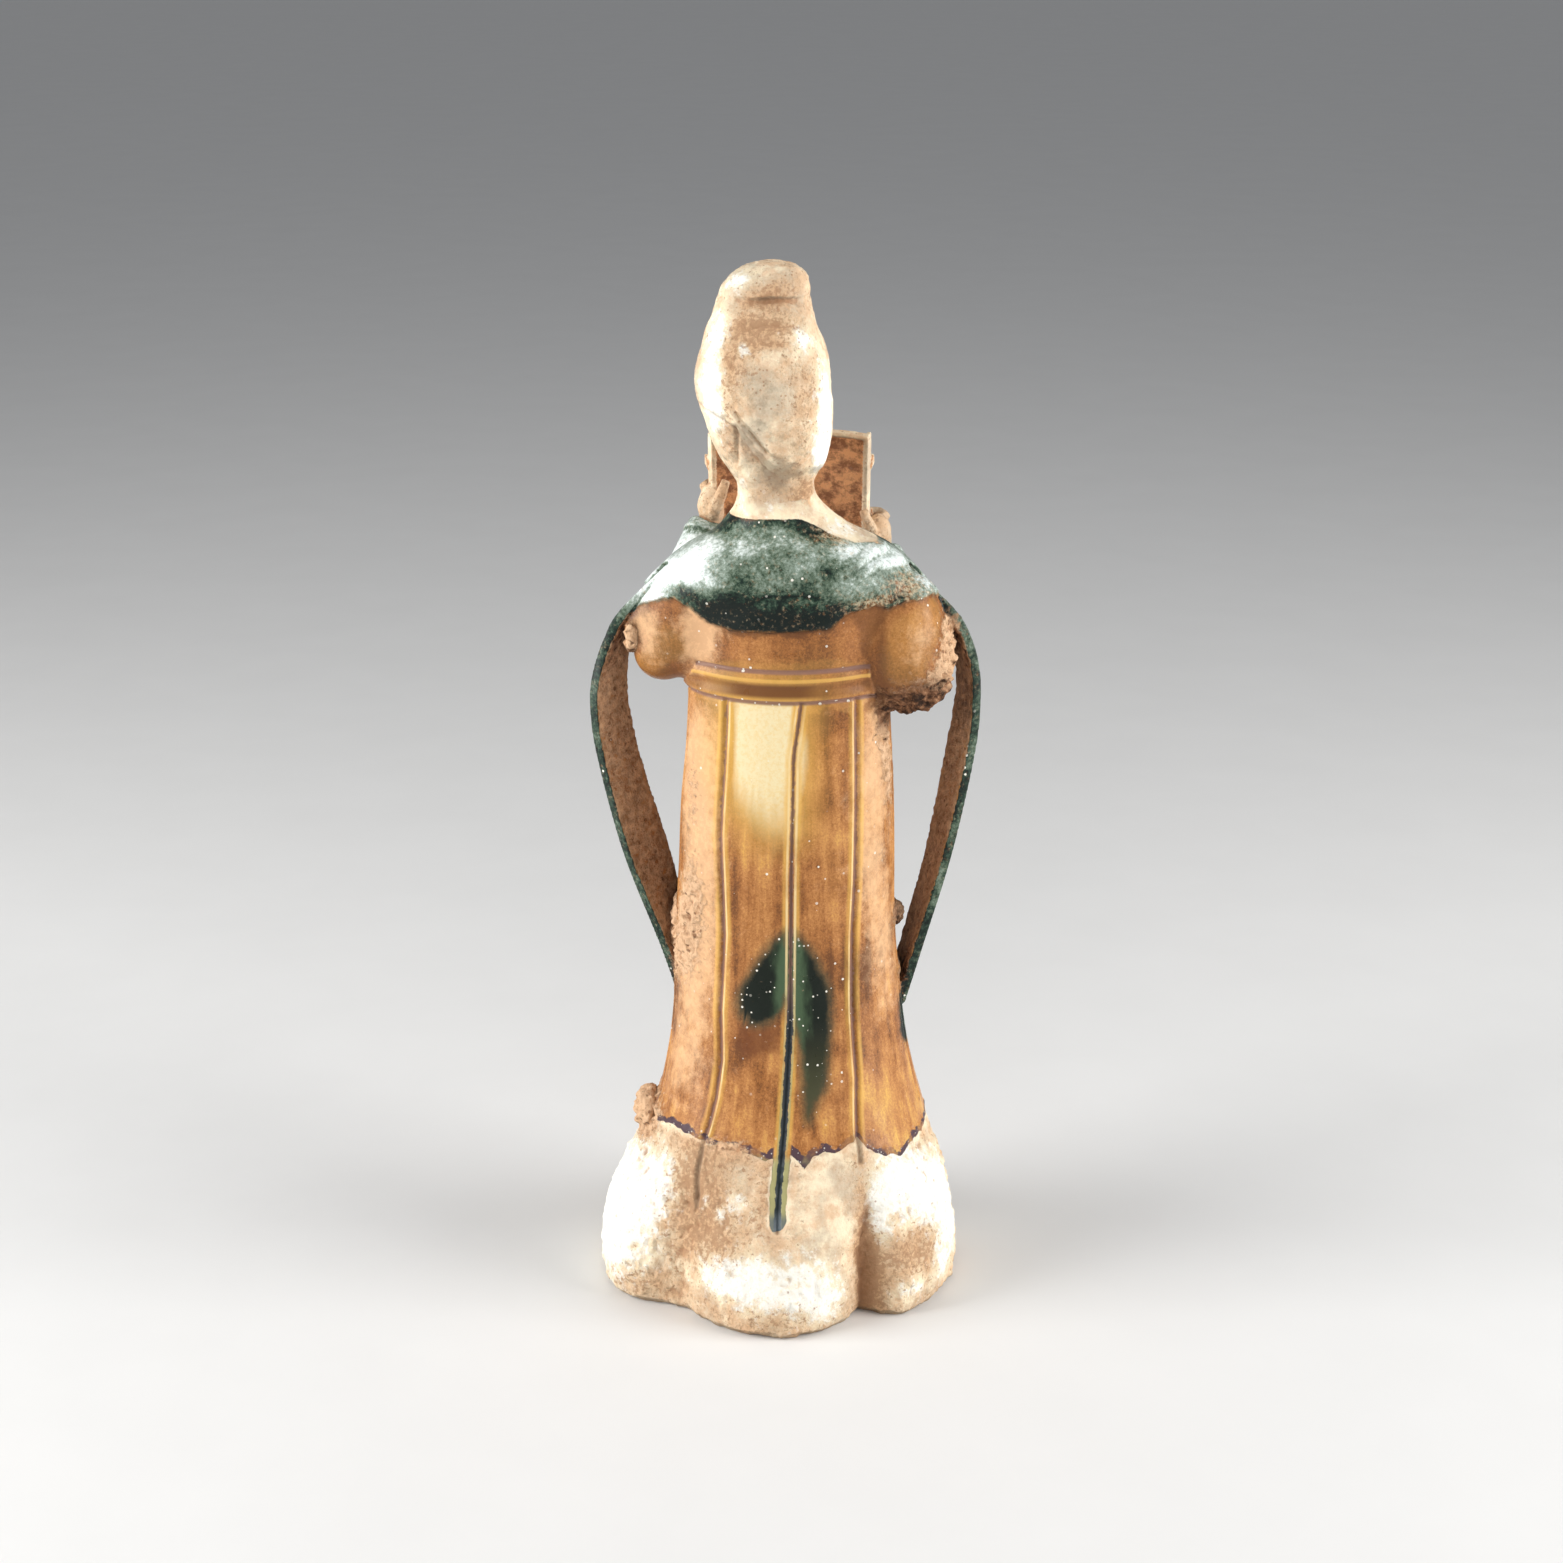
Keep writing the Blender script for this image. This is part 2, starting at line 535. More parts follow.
# Burial earth still clings in lumps where the sleeves, bands and hem hold it. Each lump is a
# core with rough pellets pressed onto it: place, half sizes and number of pellets.
EARTH_LUMPS = [
    ((36.0, 2, 46), (3.4, 7, 7.0), 34),
    ((-34, 3, 165.5), (7.0, 5, 3.4), 20),
    ((-43.6, 1, 178), (2.2, 5.0, 7.0), 16),
    ((-41.0, 3, 184.5), (2.0, 4, 4.5), 8),
    ((38.6, 1, 182), (1.4, 3.4, 4.0), 10),
    ((27.0, -1, 101), (2.0, 6.0, 9.5), 24),
    ((26.0, -2, 88), (1.8, 3.5, 4.5), 8),
    ((-31.4, -2, 103.5), (2.0, 4.5, 3.0), 8),
    ((-30.2, -2, 87), (1.6, 3.5, 4.5), 8),
    ((-26.6, 2, 158), (1.6, 4.0, 6.0), 10),
]
PELLET = 1.1

chance = np.random.default_rng(7)
pellets = []
for place, spread, count in EARTH_LUMPS:
    deselect()
    core = np.array(spread) * 0.95
    bpy.ops.mesh.primitive_ico_sphere_add(subdivisions=3, radius=MM, location=Vector(place) * MM, scale=core)
    pellets.append(bpy.context.object)
    for _ in range(count):
        way = chance.normal(size=3)
        way *= chance.uniform(0.5, 0.9) / np.linalg.norm(way)
        size = PELLET * chance.uniform(0.7, 1.5, 3)
        spot = np.array(place) + way * spread
        deselect()
        bpy.ops.mesh.primitive_ico_sphere_add(subdivisions=2, radius=MM, location=spot * MM, scale=size)
        pellets.append(bpy.context.object)
deselect()
for pellet in pellets:
    pellet.select_set(True)
bpy.context.view_layer.objects.active = pellets[0]
bpy.ops.object.transform_apply(location=True, rotation=True, scale=True)
bpy.ops.object.join()
earth_lumps = bpy.context.object
earth_lumps.name = "earth_lumps"
mark(earth_lumps, "lump")

# All the clay is joined into one body and its seams are smoothed over, as in the real pressing.
# The forms above are drawn about the skirt's middle, and the body is then set where it stands.
DRAWN_TO_PLACE = (1.442, -0.183, 0)
JOIN_GRID = 0.45
SEAM_SMOOTHING = 5

deselect()
for form in (
    robe, *jacket_forms, *hanging_bands, neck, face, hair, *pipe_forms, *rims, *hand_forms, *shoes,
    earth_lumps,
):
    form.select_set(True)
bpy.context.view_layer.objects.active = robe
bpy.ops.object.join()
figure = bpy.context.object
figure.name = "figure"
figure.data.use_remesh_preserve_attributes = True
figure.data.remesh_voxel_size = JOIN_GRID * MM
bpy.ops.object.voxel_remesh()
smooth = figure.modifiers.new("seams", "SMOOTH")
smooth.factor = 0.5
smooth.iterations = SEAM_SMOOTHING
bpy.ops.object.modifier_apply(modifier=smooth.name)
set_points(figure, points_of(figure) + DRAWN_TO_PLACE)

# The glaze and the tool marks follow lines drawn on the figure. The incised pleats run down the
# skirt: each is a route of heights and degrees round from the middle of the back.
AXIS_ACROSS = -0.8
PLEATS = [
    [(29, 4), (38, 4), (54, 2), (82, -1), (123, -2), (154, -4), (168, -10)],
    [(31, 38), (39, 40), (47, 40), (60, 38), (70, 38), (84, 41), (105, 41), (119, 44), (132, 47), (168, 48)],
    [(52, 80), (168, 84)],
    [(52, 144), (168, 140)],
    [(52, 180), (168, 180)],
    [(52, 216), (168, 220)],
    [(52, 280), (168, 276)],
    [(44, 328), (51, 327), (66, 323), (84, 321), (104, 318), (119, 315), (145, 311), (168, 308)],
]
# The lower edge of the glaze: degrees round from the middle of the back, and height.
GLAZE_EDGE = [
    (-180, 46), (-150, 43.5), (-128, 47), (-110, 44), (-90, 46.5), (-73, 44.3), (-67, 45), (-58, 44),
    (-53, 42.8), (-45, 43.9), (-39, 45.6), (-36, 47.3), (-33, 50.1), (-27, 48.9), (-21, 47.3), (-16, 47.3),
    (-11, 46.5), (-7, 44.6), (-4, 46.6), (-2, 47.4), (4, 47.2), (7, 46.2), (10, 45.0), (13, 46.6),
    (16, 47.7), (22, 48.5), (32, 48.5), (44, 48.2), (50, 49.2), (58, 49.1), (70, 47.2), (77, 47.9),
    (95, 45), (116, 47), (138, 43), (160, 46.5), (180, 46),
]
# The shawl's outline behind and in front, as [across, height] corners.
SHAWL_BACK = [
    (62, 170), (46, 184), (40.7, 189.4), (37.3, 191.3), (32.1, 193.6), (29, 194.5), (24.7, 192.4),
    (20.6, 188.7), (13.7, 187.4), (3.8, 187.6), (-5.7, 188.0), (-11.9, 188.3), (-14, 190.4), (-16.5, 192.2),
    (-23.1, 193.7), (-26.5, 192.4), (-31, 193.9), (-34.3, 194.2), (-38.2, 195), (-48, 186), (-60, 172),
    (-60, 210), (-30, 210), (-24, 208.6), (-18, 210), (-12, 212.8), (-8, 214.8), (-3.7, 216.2), (4, 215.6),
    (10.5, 215.0), (15, 215.6), (62, 218),
]
SHAWL_FRONT_LEFT = [(10.4, 222), (13.4, 210), (20.4, 199), (26.4, 191), (34.4, 187), (61, 178), (61, 222)]
SHAWL_FRONT_RIGHT = [
    (-9.6, 222), (-13, 210), (-20.6, 198), (-27.6, 190), (-36.6, 184), (-59, 178), (-59, 222),
]
# The least share of a smoothing that counts.
LEAST_SHARE = 0.004
# Neckline in front and behind: across and height.
NECKLINE = [(-14, 222), (-9, 214), (0.5, 201), (9, 214), (14, 222)]
NECKLINE_BEHIND = [
    (-27, 209), (-24, 208.4), (-18, 209.2), (-12, 211.4), (-8, 213.4), (-3.7, 215.4), (4, 215.4), (11, 215),
]


def route_distance(across, height, route):
    """Distance to an open route of straight stretches."""
    nearest = np.full(len(across), np.inf)
    for (ax, az), (bx, bz) in zip(route, route[1:]):
        dx, dz = bx - ax, bz - az
        t = np.clip(((across - ax) * dx + (height - az) * dz) / (dx * dx + dz * dz), 0, 1)
        nearest = np.minimum(nearest, np.hypot(across - ax - t * dx, height - az - t * dz))
    return nearest


def outline_distance(across, height, outline):
    """Distance to an outline's edge, above zero inside it."""
    closed = [*outline, outline[0]]
    inside = np.zeros(len(across), bool)
    for (ax, az), (bx, bz) in zip(closed, closed[1:]):
        crosses = (az > height) != (bz > height)
        inside ^= crosses & (across < ax + (bx - ax) * (height - az) / ((bz - az) or 1))
    nearest = route_distance(across, height, closed)
    return np.where(inside, nearest, -nearest)


def read_field(name):
    values = np.zeros(len(figure.data.vertices))
    figure.data.attributes[name].data.foreach_get("value", values)
    return values


def write_field(name, values):
    field = figure.data.attributes.get(name) or figure.data.attributes.new(name, "FLOAT", "POINT")
    field.data.foreach_set("value", values)


def facings():
    """The way each point of the figure faces."""
    normals = np.empty(len(figure.data.vertices) * 3)
    figure.data.vertex_normals.foreach_get("vector", normals)
    return normals.reshape(-1, 3)


def rolling(points, size, seed):
    """Smooth seeded lumps of about the given size, from -1 to 1."""
    lattice = np.random.default_rng(seed).uniform(-1, 1, (32, 32, 32))
    steps = points / size
    cell = np.floor(steps).astype(int)
    part = steps - cell
    part = part * part * (3 - 2 * part)
    total = np.zeros(len(points))
    for corner in product((0, 1), repeat=3):
        weight = np.where(corner, part, 1 - part).prod(axis=1)
        total += weight * lattice[tuple(((cell + corner) % 32).T)]
    return total


def levelled(points, rounds, amount):
    """The points drawn towards the middle of their neighbours a number of times, each by its own
    amount. Edges that lead to no moving point are left out."""
    pairs = np.empty(len(figure.data.edges) * 2, int)
    figure.data.edges.foreach_get("vertices", pairs)
    pairs = pairs.reshape(-1, 2)
    amount = np.broadcast_to(amount, len(points))
    pairs = pairs[(amount[pairs] > LEAST_SHARE).any(axis=1)]
    kept = np.unique(pairs)
    renumbered = np.zeros(len(points), int)
    renumbered[kept] = np.arange(len(kept))
    first, second = renumbered[pairs].T
    near = np.maximum(np.bincount(first, minlength=len(kept)) + np.bincount(second, minlength=len(kept)), 1)
    share = np.where(amount[kept] > LEAST_SHARE, amount[kept], 0) / near
    moved = points.copy()
    for axis in range(3):
        column = points[kept, axis]
        for _ in range(rounds):
            total = np.bincount(first, column[second], len(kept))
            total += np.bincount(second, column[first], len(kept))
            column = column + (total - column * near) * share
        moved[kept, axis] = column
    return moved


def blotted(points, blots):
    """Sum of soft blots, each a place, a reach along each axis and an amount."""
    total = np.zeros(len(points))
    for *place, wide, deep, tall, amount in blots:
        total += amount * np.exp(-(((points - place) / (wide, deep, tall)) ** 2).sum(axis=1))
    return total


def rounded(distance, width):
    """A soft ridge along a line: 1 on the line, and next to nothing past twice the width."""
    return np.exp(-(distance / width) ** 2)


def degrees_round(points):
    return np.degrees(np.arctan2(points[:, 0] - AXIS_ACROSS, points[:, 1]))


def pleat_distance(points):
    """Distance aside from the nearest pleat line, with its sign turned over from each pleat to the
    next, and the distance above or below that pleat's ends."""
    turn, height = degrees_round(points), points[:, 2]
    radius = np.hypot(points[:, 0] - AXIS_ACROSS, points[:, 1])
    best, ends = np.full(len(points), 99.0), np.zeros(len(points))
    for number, pleat in enumerate(PLEATS):
        heights, angles = zip(*pleat)
        off = (turn - np.interp(height, heights, angles) + 540) % 360 - 180
        aside = np.radians(off) * radius * (-1) ** number
        nearer = np.abs(aside) < np.abs(best)
        best = np.where(nearer, aside, best)
        past = np.maximum(heights[0] - height, 0) + np.maximum(height - heights[-1], 0)
        ends = np.where(nearer, past, ends)
    return best, ends


def ring_height(level, across):
    """A ring round the topknot sags to both sides of its middle."""
    return level - 0.025 * (across - 3) ** 2


def shawl_distance(points):
    """Distance inside the shawl's outline, above zero on the shawl."""
    across, height = points[:, 0], points[:, 2]
    behind = outline_distance(across, height, SHAWL_BACK)
    left, right = (outline_distance(across, height, side) for side in (SHAWL_FRONT_LEFT, SHAWL_FRONT_RIGHT))
    before = np.maximum(left, right)
    share = eased(points[:, 1], -9, -1)
    return behind * share + before * (1 - share)


def glaze_height(points):
    """Height above the glaze's lower edge."""
    edge = np.interp(degrees_round(points), *zip(*GLAZE_EDGE))
    return points[:, 2] - edge - 0.9 * rolling(points * (1, 1, 0.4), 4.5, 11) - 0.4 * rolling(points, 1.8, 12)


# Relief worked into the joined body: the shawl's edge and folds, the waistband, the pleats, the
# hairline and comb marks, the bead at the foot of the glaze, and the crust of earth.
SHAWL_RELIEF = 1.0
# Ridges of the shawl's folds behind: route as [across, height], half width and relief.
SHAWL_FOLDS = [
    ([(33, 198.5), (27.1, 201.3), (23.4, 201.6), (20, 200.9), (15, 198.4)], 1.3, 0.7),
    ([(-13, 203.0), (-17.8, 204.4), (-22, 206.4), (-25.8, 206.6), (-31, 205)], 1.2, 0.9),
    ([(-17, 201.0), (-23, 203.3), (-30, 203)], 1.0, 0.7),
    ([(19, 207), (12, 204.5), (4, 203.4), (-4, 203.8)], 2.2, 0.35),
    ([(24, 197.2), (14, 195.2), (3, 194.2), (-8, 195), (-15, 198)], 2.0, 0.35),
]
WAISTBAND = (168.7, 176.7)
WAISTBAND_RELIEF = 0.6
# Lines round the waistband: height, half width and relief.
WAIST_LINES = [(176.9, 0.5, -0.45), (174.6, 0.8, 0.3), (172.2, 1.2, -0.3), (168.5, 0.5, -0.45)]
NAPE = [
    (4.2, 228.7), (8.4, 233.6), (12.9, 240.4), (27, 247), (27, 214), (-13, 214), (-8.2, 222), (-1.6, 225.4),
]
HAIRLINE_FOLDS = [
    ([(13.6, 243.6), (11.2, 240.6), (8.6, 237.2), (6.2, 234.0), (3.2, 230.4)], 0.8, 0.55),
    ([(11.6, 245.0), (9.4, 241.4), (6.6, 237.6), (3.6, 233.8)], 0.8, 0.6),
    ([(12.5, 244.2), (10.3, 241.0), (7.6, 237.4), (4.9, 233.9)], 0.45, -0.55),
    ([(2, 229.2), (-2.4, 231.4), (-5.4, 236.2)], 0.8, 0.3),
]
NAPE_CREASE = [(12.7, 240.0), (12.9, 236.3), (13.0, 229.4)]
# Rings round the hair: height, half width and relief.
HAIR_RINGS = [
    (271.4, 0.9, -0.6), (268.6, 1.2, 0.35), (265.7, 0.8, -0.7), (263.4, 1.0, 0.3), (261.2, 0.7, -0.5),
]
# Tool lines on the face: aside from its middle, height, half length, arch, half width and depth.
FACE_LINES = [
    (5.5, 242.9, 3.4, 0.07, 0.42, 0.75),
    (5.5, 240.0, 2.8, -0.05, 0.40, 0.45),
    (5.9, 245.2, 3.8, 0.05, 0.55, 0.22),
    (0, 231.4, 3.0, -0.03, 0.4, 0.6),
]
# Where the joins are smoothed over furthest. Blots like these are a place, a reach along each axis
# and an amount.
SOFTENED = [
    (25, 9, 182, 10, 10, 15, 1.7), (-30, 12, 180, 11, 10, 15, 1.6), (28, 4, 203, 12, 9, 6, 0.25),
    (-30, 4, 203, 12, 9, 6, 0.25), (1.5, 6, 221, 15, 14, 5.5, 1.4),
]
NAPE_SOFTENED = [(1.5, 8, 218.5, 20, 12, 6.5, 1)]
SOFTENING_ROUNDS = 220
# Where earth is caked on.
EARTH_PATCHES = [
    (24.8, 11, 111, 5, 8, 11, 1.3), (26, 9, 97, 5, 8, 8, 1.3), (25, 9, 140, 3, 6, 13, 0.55),
    (-26.5, 9, 158, 3, 6, 10, 0.95), (-27.5, 7, 143, 2.4, 6, 10, 0.7), (-34, 10, 167, 9, 9, 6, 1.3),
    (-43, 4, 179, 3.6, 8, 11, 1.3), (-40, 11, 172, 4, 6, 6, 0.9), (40.5, 3, 182, 2.0, 5, 5, 1.0),
    (-6, 7.5, 220.5, 3, 3, 3, 0.9), (16, 31, 47.8, 8, 7, 2.4, 1.1), (37, 4, 46, 5, 10, 8.5, 1.5),
    (-30.5, 3, 104, 3, 6, 4, 1.0), (-31, 1, 88, 2.5, 5, 5, 0.7), (28, 2, 90, 3, 7, 8, 0.9),
]


places = points_of(figure)
low_hair = read_field("hair") * (1 - eased(places[:, 2], 226, 231)) * eased(places[:, 1], 0, 4)
joined = np.clip(read_field("robe") + read_field("sleeve") + read_field("neck") + low_hair, 0, 1)
soft_share = np.clip(np.clip(blotted(places, SOFTENED), 0, 1) * joined + 0.04 * read_field("lump"), 0, 1)
places = levelled(places, SOFTENING_ROUNDS, 0.75 * soft_share)
nape_share = np.clip(1.6 * blotted(places, NAPE_SOFTENED), 0, 1) * joined * eased(places[:, 1], -2, 4)
set_points(figure, levelled(places, 2 * SOFTENING_ROUNDS, 0.75 * nape_share))
places, faces = points_of(figure), facings()
robe_skin, sleeve_skin, hair_skin = read_field("robe"), read_field("sleeve"), read_field("hair")
cloth = np.maximum(robe_skin, sleeve_skin)
behind = eased(places[:, 1], 0, 4)
height = places[:, 2]
relief = np.zeros(len(places))
shawl = shawl_distance(places)
top_edge = eased(places[:, 1], -9, -1) * eased(height, 205, 212)
relief += SHAWL_RELIEF * eased(shawl, -0.35, 0.45) * cloth * (1 - 0.95 * top_edge)
for route, width, rise in SHAWL_FOLDS:
    aside = route_distance(places[:, 0], height, route)
    relief += rise * rounded(aside, width) * cloth * behind
low, high = WAISTBAND
band = eased(height, low - 0.3, low + 0.5) * (1 - eased(height, high - 0.5, high + 0.3))
relief += WAISTBAND_RELIEF * band * robe_skin
for level, width, rise in WAIST_LINES:
    relief += rise * rounded(height - level, width) * robe_skin
pleat, past = pleat_distance(places)
groove = 0.7 * rounded(pleat, 0.62) - 0.22 * rounded(np.abs(pleat) - 1.4, 0.6)
relief -= groove * robe_skin * rounded(past, 0.8)
nape = outline_distance(places[:, 0], height, NAPE)
head_skin = np.maximum(hair_skin, read_field("head"))
nape_blur = np.interp(places[:, 0], [-3, 3.5], [5.5, 0.8])
relief -= 1.2 * eased(nape / nape_blur, -0.3, 1) * behind * hair_skin * eased(height, 223.5, 230)
for route, width, rise in HAIRLINE_FOLDS:
    aside = route_distance(places[:, 0], height, route)
    relief += rise * rounded(aside, width) * behind * hair_skin
crease = route_distance(places[:, 0], height, NAPE_CREASE)
relief -= 0.7 * rounded(crease, 0.7) * behind
ring_part = behind * np.exp(-((places[:, 0] - 3.5) / 7.5) ** 4) * hair_skin
for level, width, rise in HAIR_RINGS:
    relief += rise * rounded(height - ring_height(level, places[:, 0]), width) * ring_part
aside = np.abs(places[:, 0] - FACE_MIDDLE - DRAWN_TO_PLACE[0])
for across, level, reach, arch, width, depth in FACE_LINES:
    line = level - arch * (aside - across) ** 2
    ends = (1 - eased(np.abs(aside - across), reach - 0.8, reach + 0.4)) * (places[:, 1] < -10)
    relief -= depth * rounded(height - line, width) * ends * read_field("head")
combed = np.cos(np.arctan2(places[:, 0] - 4, -places[:, 1]) * 62)
relief += 0.14 * combed * hair_skin * (1 - eased(places[:, 1], -6, 5)) * eased(height, 226, 232)
bead = glaze_height(places)
relief += 0.4 * rounded(bead - 0.7, 0.9) * robe_skin * (0.7 + 0.8 * rolling(places, 2.2, 13))
relief += 0.28 * rolling(places, 17, 1) * cloth
hem_skin = robe_skin * eased(-bead, -0.5, 0.5)
bare = np.maximum.reduce([head_skin, read_field("neck"), read_field("hand"), hem_skin])
rough_hem = 1 + 1.6 * robe_skin * eased(rolling(places, 14, 8), -0.3, 0.5)
relief += bare * rough_hem * (0.19 * rolling(places, 2.6, 2) + 0.15 * rolling(places, 1.2, 3))
clumps = eased(rolling(places, 7, 9) + 0.6 * rolling(places, 2.4, 10), 0.15, 0.6) * eased(-bead, 0, 2)
relief += 0.55 * clumps * robe_skin * (0.75 + 0.5 * rolling(places, 1.1, 14))
cake = np.clip(blotted(places, EARTH_PATCHES) + 0.8 * read_field("lump"), 0, 1.2)
crust = 0.35 + 0.24 * rolling(places, 3.4, 4) + 0.42 * (rolling(places, 1.7, 5) + rolling(places, 0.95, 6))
relief += 1.3 * cake * np.clip(crust, -0.4, 1.6) * eased(cake + 0.5 * crust, 0.25, 1.2)
inner_bank = read_field("hanging") * eased(-faces[:, 0] * np.sign(places[:, 0]), 0.2, 0.7)
relief += inner_bank * np.clip(crust, -0.2, 0.8) * 0.35
places += faces * relief[:, None]
places[:, 2] = np.maximum(places[:, 2], 0)
set_points(figure, places)

# The body is thinned to a mesh of moderate size, closest where the surface turns most.
MOST_TRIANGLES = 196000

figure.data.calc_loop_triangles()
thin = figure.modifiers.new("thin", "DECIMATE")
thin.ratio = MOST_TRIANGLES / len(figure.data.loop_triangles)
thin.use_collapse_triangulate = True
bpy.ops.object.modifier_apply(modifier=thin.name)
deselect()
figure.select_set(True)
bpy.ops.object.shade_smooth()

# The glaze was brushed and poured on: amber over the dress, green on the shawl, cream left bare of
# colour in one patch, and a green splash. These fields say how far each point is from each edge.
SPLASH_LEFT = [
    (-1.2, 107.5), (1.4, 105.3), (4.9, 101), (8.3, 96.4), (11.1, 91), (12.5, 85.8), (11.4, 82.1),
    (7.6, 81.5), (3.4, 83.1), (0.8, 86.5), (-1.2, 91),
]
SPLASH_RIGHT = [
    (-1.0, 107.5), (-6.2, 101.6), (-9.7, 95), (-11.9, 88.2), (-11.8, 80.4), (-11.2, 72.7), (-10.2, 63.4),
    (-7.8, 60.5), (-6, 55.6), (-5.2, 62.2), (-4.6, 73.3), (-3.0, 81), (-1.2, 86.1),
]
STAIN = [(13.6, 80.8), (1.4, 81.6), (1.8, 74.2), (11.8, 71.5)]
CREAM = [(13.2, 168), (13.0, 147), (11, 142), (7, 139), (3.4, 137), (0, 137), (-0.8, 148.2), (-2, 168)]
CREAM_SLIVER = [(-3.4, 158), (-4.6, 160.5), (-5.4, 156.1), (-5.0, 150), (-4.2, 145), (-3.2, 143)]
# The glaze runs on down the middle pleat over the bare hem.
DRIP_HALF_WIDTH = 2.3
DRIP_FOOT = 28.6
# White clay patches on the hem: degrees round, height, reach in degrees and in mm, and amount.
WHITE_PATCHES = [
    (74, 21, 20, 19, 1.5), (57, 33, 8, 9, 0.85), (25, 15, 10, 6, 1.0), (12, 16, 8, 7, 0.85),
    (-3, 15, 13, 9, 0.9), (-13, 9, 8, 6, 0.8), (-44, 36, 9, 10, 0.95), (-58, 33, 10, 11, 1.15),
    (-36, 29, 3, 8, 0.9), (-74, 24, 11, 15, 1.4), (-45, 8, 7, 4, 0.8), (-62, 10, 6, 6, 0.8),
    (34, 33, 1.8, 1.8, 1.2), (27, 31, 1.8, 1.6, 1.0), (20, 34, 6, 5, 0.6), (100, 20, 16, 14, 1.1),
    (140, 24, 16, 12, 0.9), (178, 14, 18, 10, 1.0), (-150, 26, 16, 12, 1.0), (-112, 18, 16, 14, 1.1),
]
# Soil on the hem, in the same way; below zero where the clay is clean.
SOIL_PATCHES = [
    (42, 38, 14, 12, 0.55), (30, 24, 14, 9, 0.5), (8, 38, 5, 8, 0.3), (-16, 33, 11, 12, -0.55),
    (-32, 12, 3.4, 18, 1.15), (60, 6, 16, 5, 0.4), (-50, 17, 14, 7, 0.5), (-70, 42, 12, 5, 0.2),
    (3, 6, 14, 4, 0.3),
]
HEAD_WHITES = [
    (18.6, 9, 248, 3.2, 9, 12, 1.4), (-4.2, 9, 261, 3, 4, 4, 0.9), (10.5, 14, 259.8, 1.2, 3, 1.1, 1.8),
    (17.5, 8, 266, 3.5, 6, 6, 0.9), (-11.5, 10, 245, 3.6, 7, 15, 1.35), (-10, 8, 232, 4, 6, 8, 0.9),
    (-16, 6, 212.5, 8, 8, 4, 0.75), (3, 12, 217.5, 9, 6, 3, 0.45), (12, 9, 221, 3, 5, 6, 0.9),
    (14, 8, 277, 5, 8, 4, 1.1), (8, -16, 230, 6, 6, 5, 0.5), (-12, -10, 252, 6, 8, 8, 0.7),
    (4, 15, 244, 6, 5, 7, -0.7),
]
HEAD_SOIL = [
    (5, 12, 273.5, 8, 8, 2.4, 0.6), (6, 12, 266, 11, 8, 4, 0.5), (12, 11, 256, 6, 6, 9, 0.4),
    (-3, 10, 242, 6, 6, 14, 0.32), (14, 9, 238, 3, 6, 10, 0.35), (5, 14, 245, 4.5, 6, 9, -0.4),
    (3, 12, 252, 6, 6, 5, 0.1), (0, 10, 219, 10, 6, 5, 0.12), (-6, 8, 221, 4, 4, 5, 0.6),
    (12, 12, 275, 8, 8, 5, -0.2), (3, 8, 226, 3, 4, 3, 0.3), (14, 13, 252, 3, 5, 7, 0.3),
    (-8, 12, 250, 3, 6, 8, 0.25),
]
PALE_WORN = [
    (24, 10, 150, 7, 10, 18, 0.9), (23, 14, 120, 7, 8, 26, 0.8), (24, 14, 92, 8, 9, 22, 0.7),
    (-24, 11, 150, 7, 9, 16, 0.8), (-27, 12, 100, 7, 9, 26, 0.6), (22.5, 13, 185, 5, 8, 9, 1.3),
    (36, 4, 184, 4, 9, 8, 0.8), (-35, 14, 184, 6, 8, 8, 0.45), (-22, 15, 124, 7, 6, 16, 0.5),
    (-12, 14, 200, 9, 6, 4, 0.35), (30, 16, 66, 9, 9, 12, 0.55),
]
# Where the shawl's green runs thin and pale, lets the brown through, or lies thickest.
SHAWL_PALE = [
    (26, 10, 203, 9, 10, 8, 1.45), (36, 5, 196, 8, 10, 6, 1.35), (-26, 9, 205, 9, 8, 3.6, 1.15),
    (14, 14, 211, 9, 8, 4, 0.7), (3, 18, 190.5, 16, 8, 5, -1.25), (15, 17, 194, 8, 8, 5, -0.6),
    (26, 11, 197, 6, 8, 2.2, -1.0), (1, 15, 201, 12, 8, 6, -0.3), (-37, 4, 198, 6, 8, 5, 1.15),
    (-20, 13, 196.5, 7, 8, 3, 0.4), (24, -20, 198, 9, 10, 9, 1.3), (-28, -20, 192, 8, 10, 8, 0.7),
    (3, 12, 212.5, 10, 8, 2.4, 0.7), (-17, 10, 208, 7, 8, 2.4, 0.9),
]
SHAWL_BROWN = [
    (-22, 16, 194, 7, 8, 3.2, 0.7), (-31, 10, 198, 5, 8, 3.6, 0.75), (-14, 10, 210.5, 5, 8, 2.2, 0.6),
    (-36, 4, 194, 4, 8, 3, 0.6), (33, 6, 194, 4, 6, 2.0, 0.5), (-8, 8, 211.5, 6, 8, 1.6, 0.4),
]
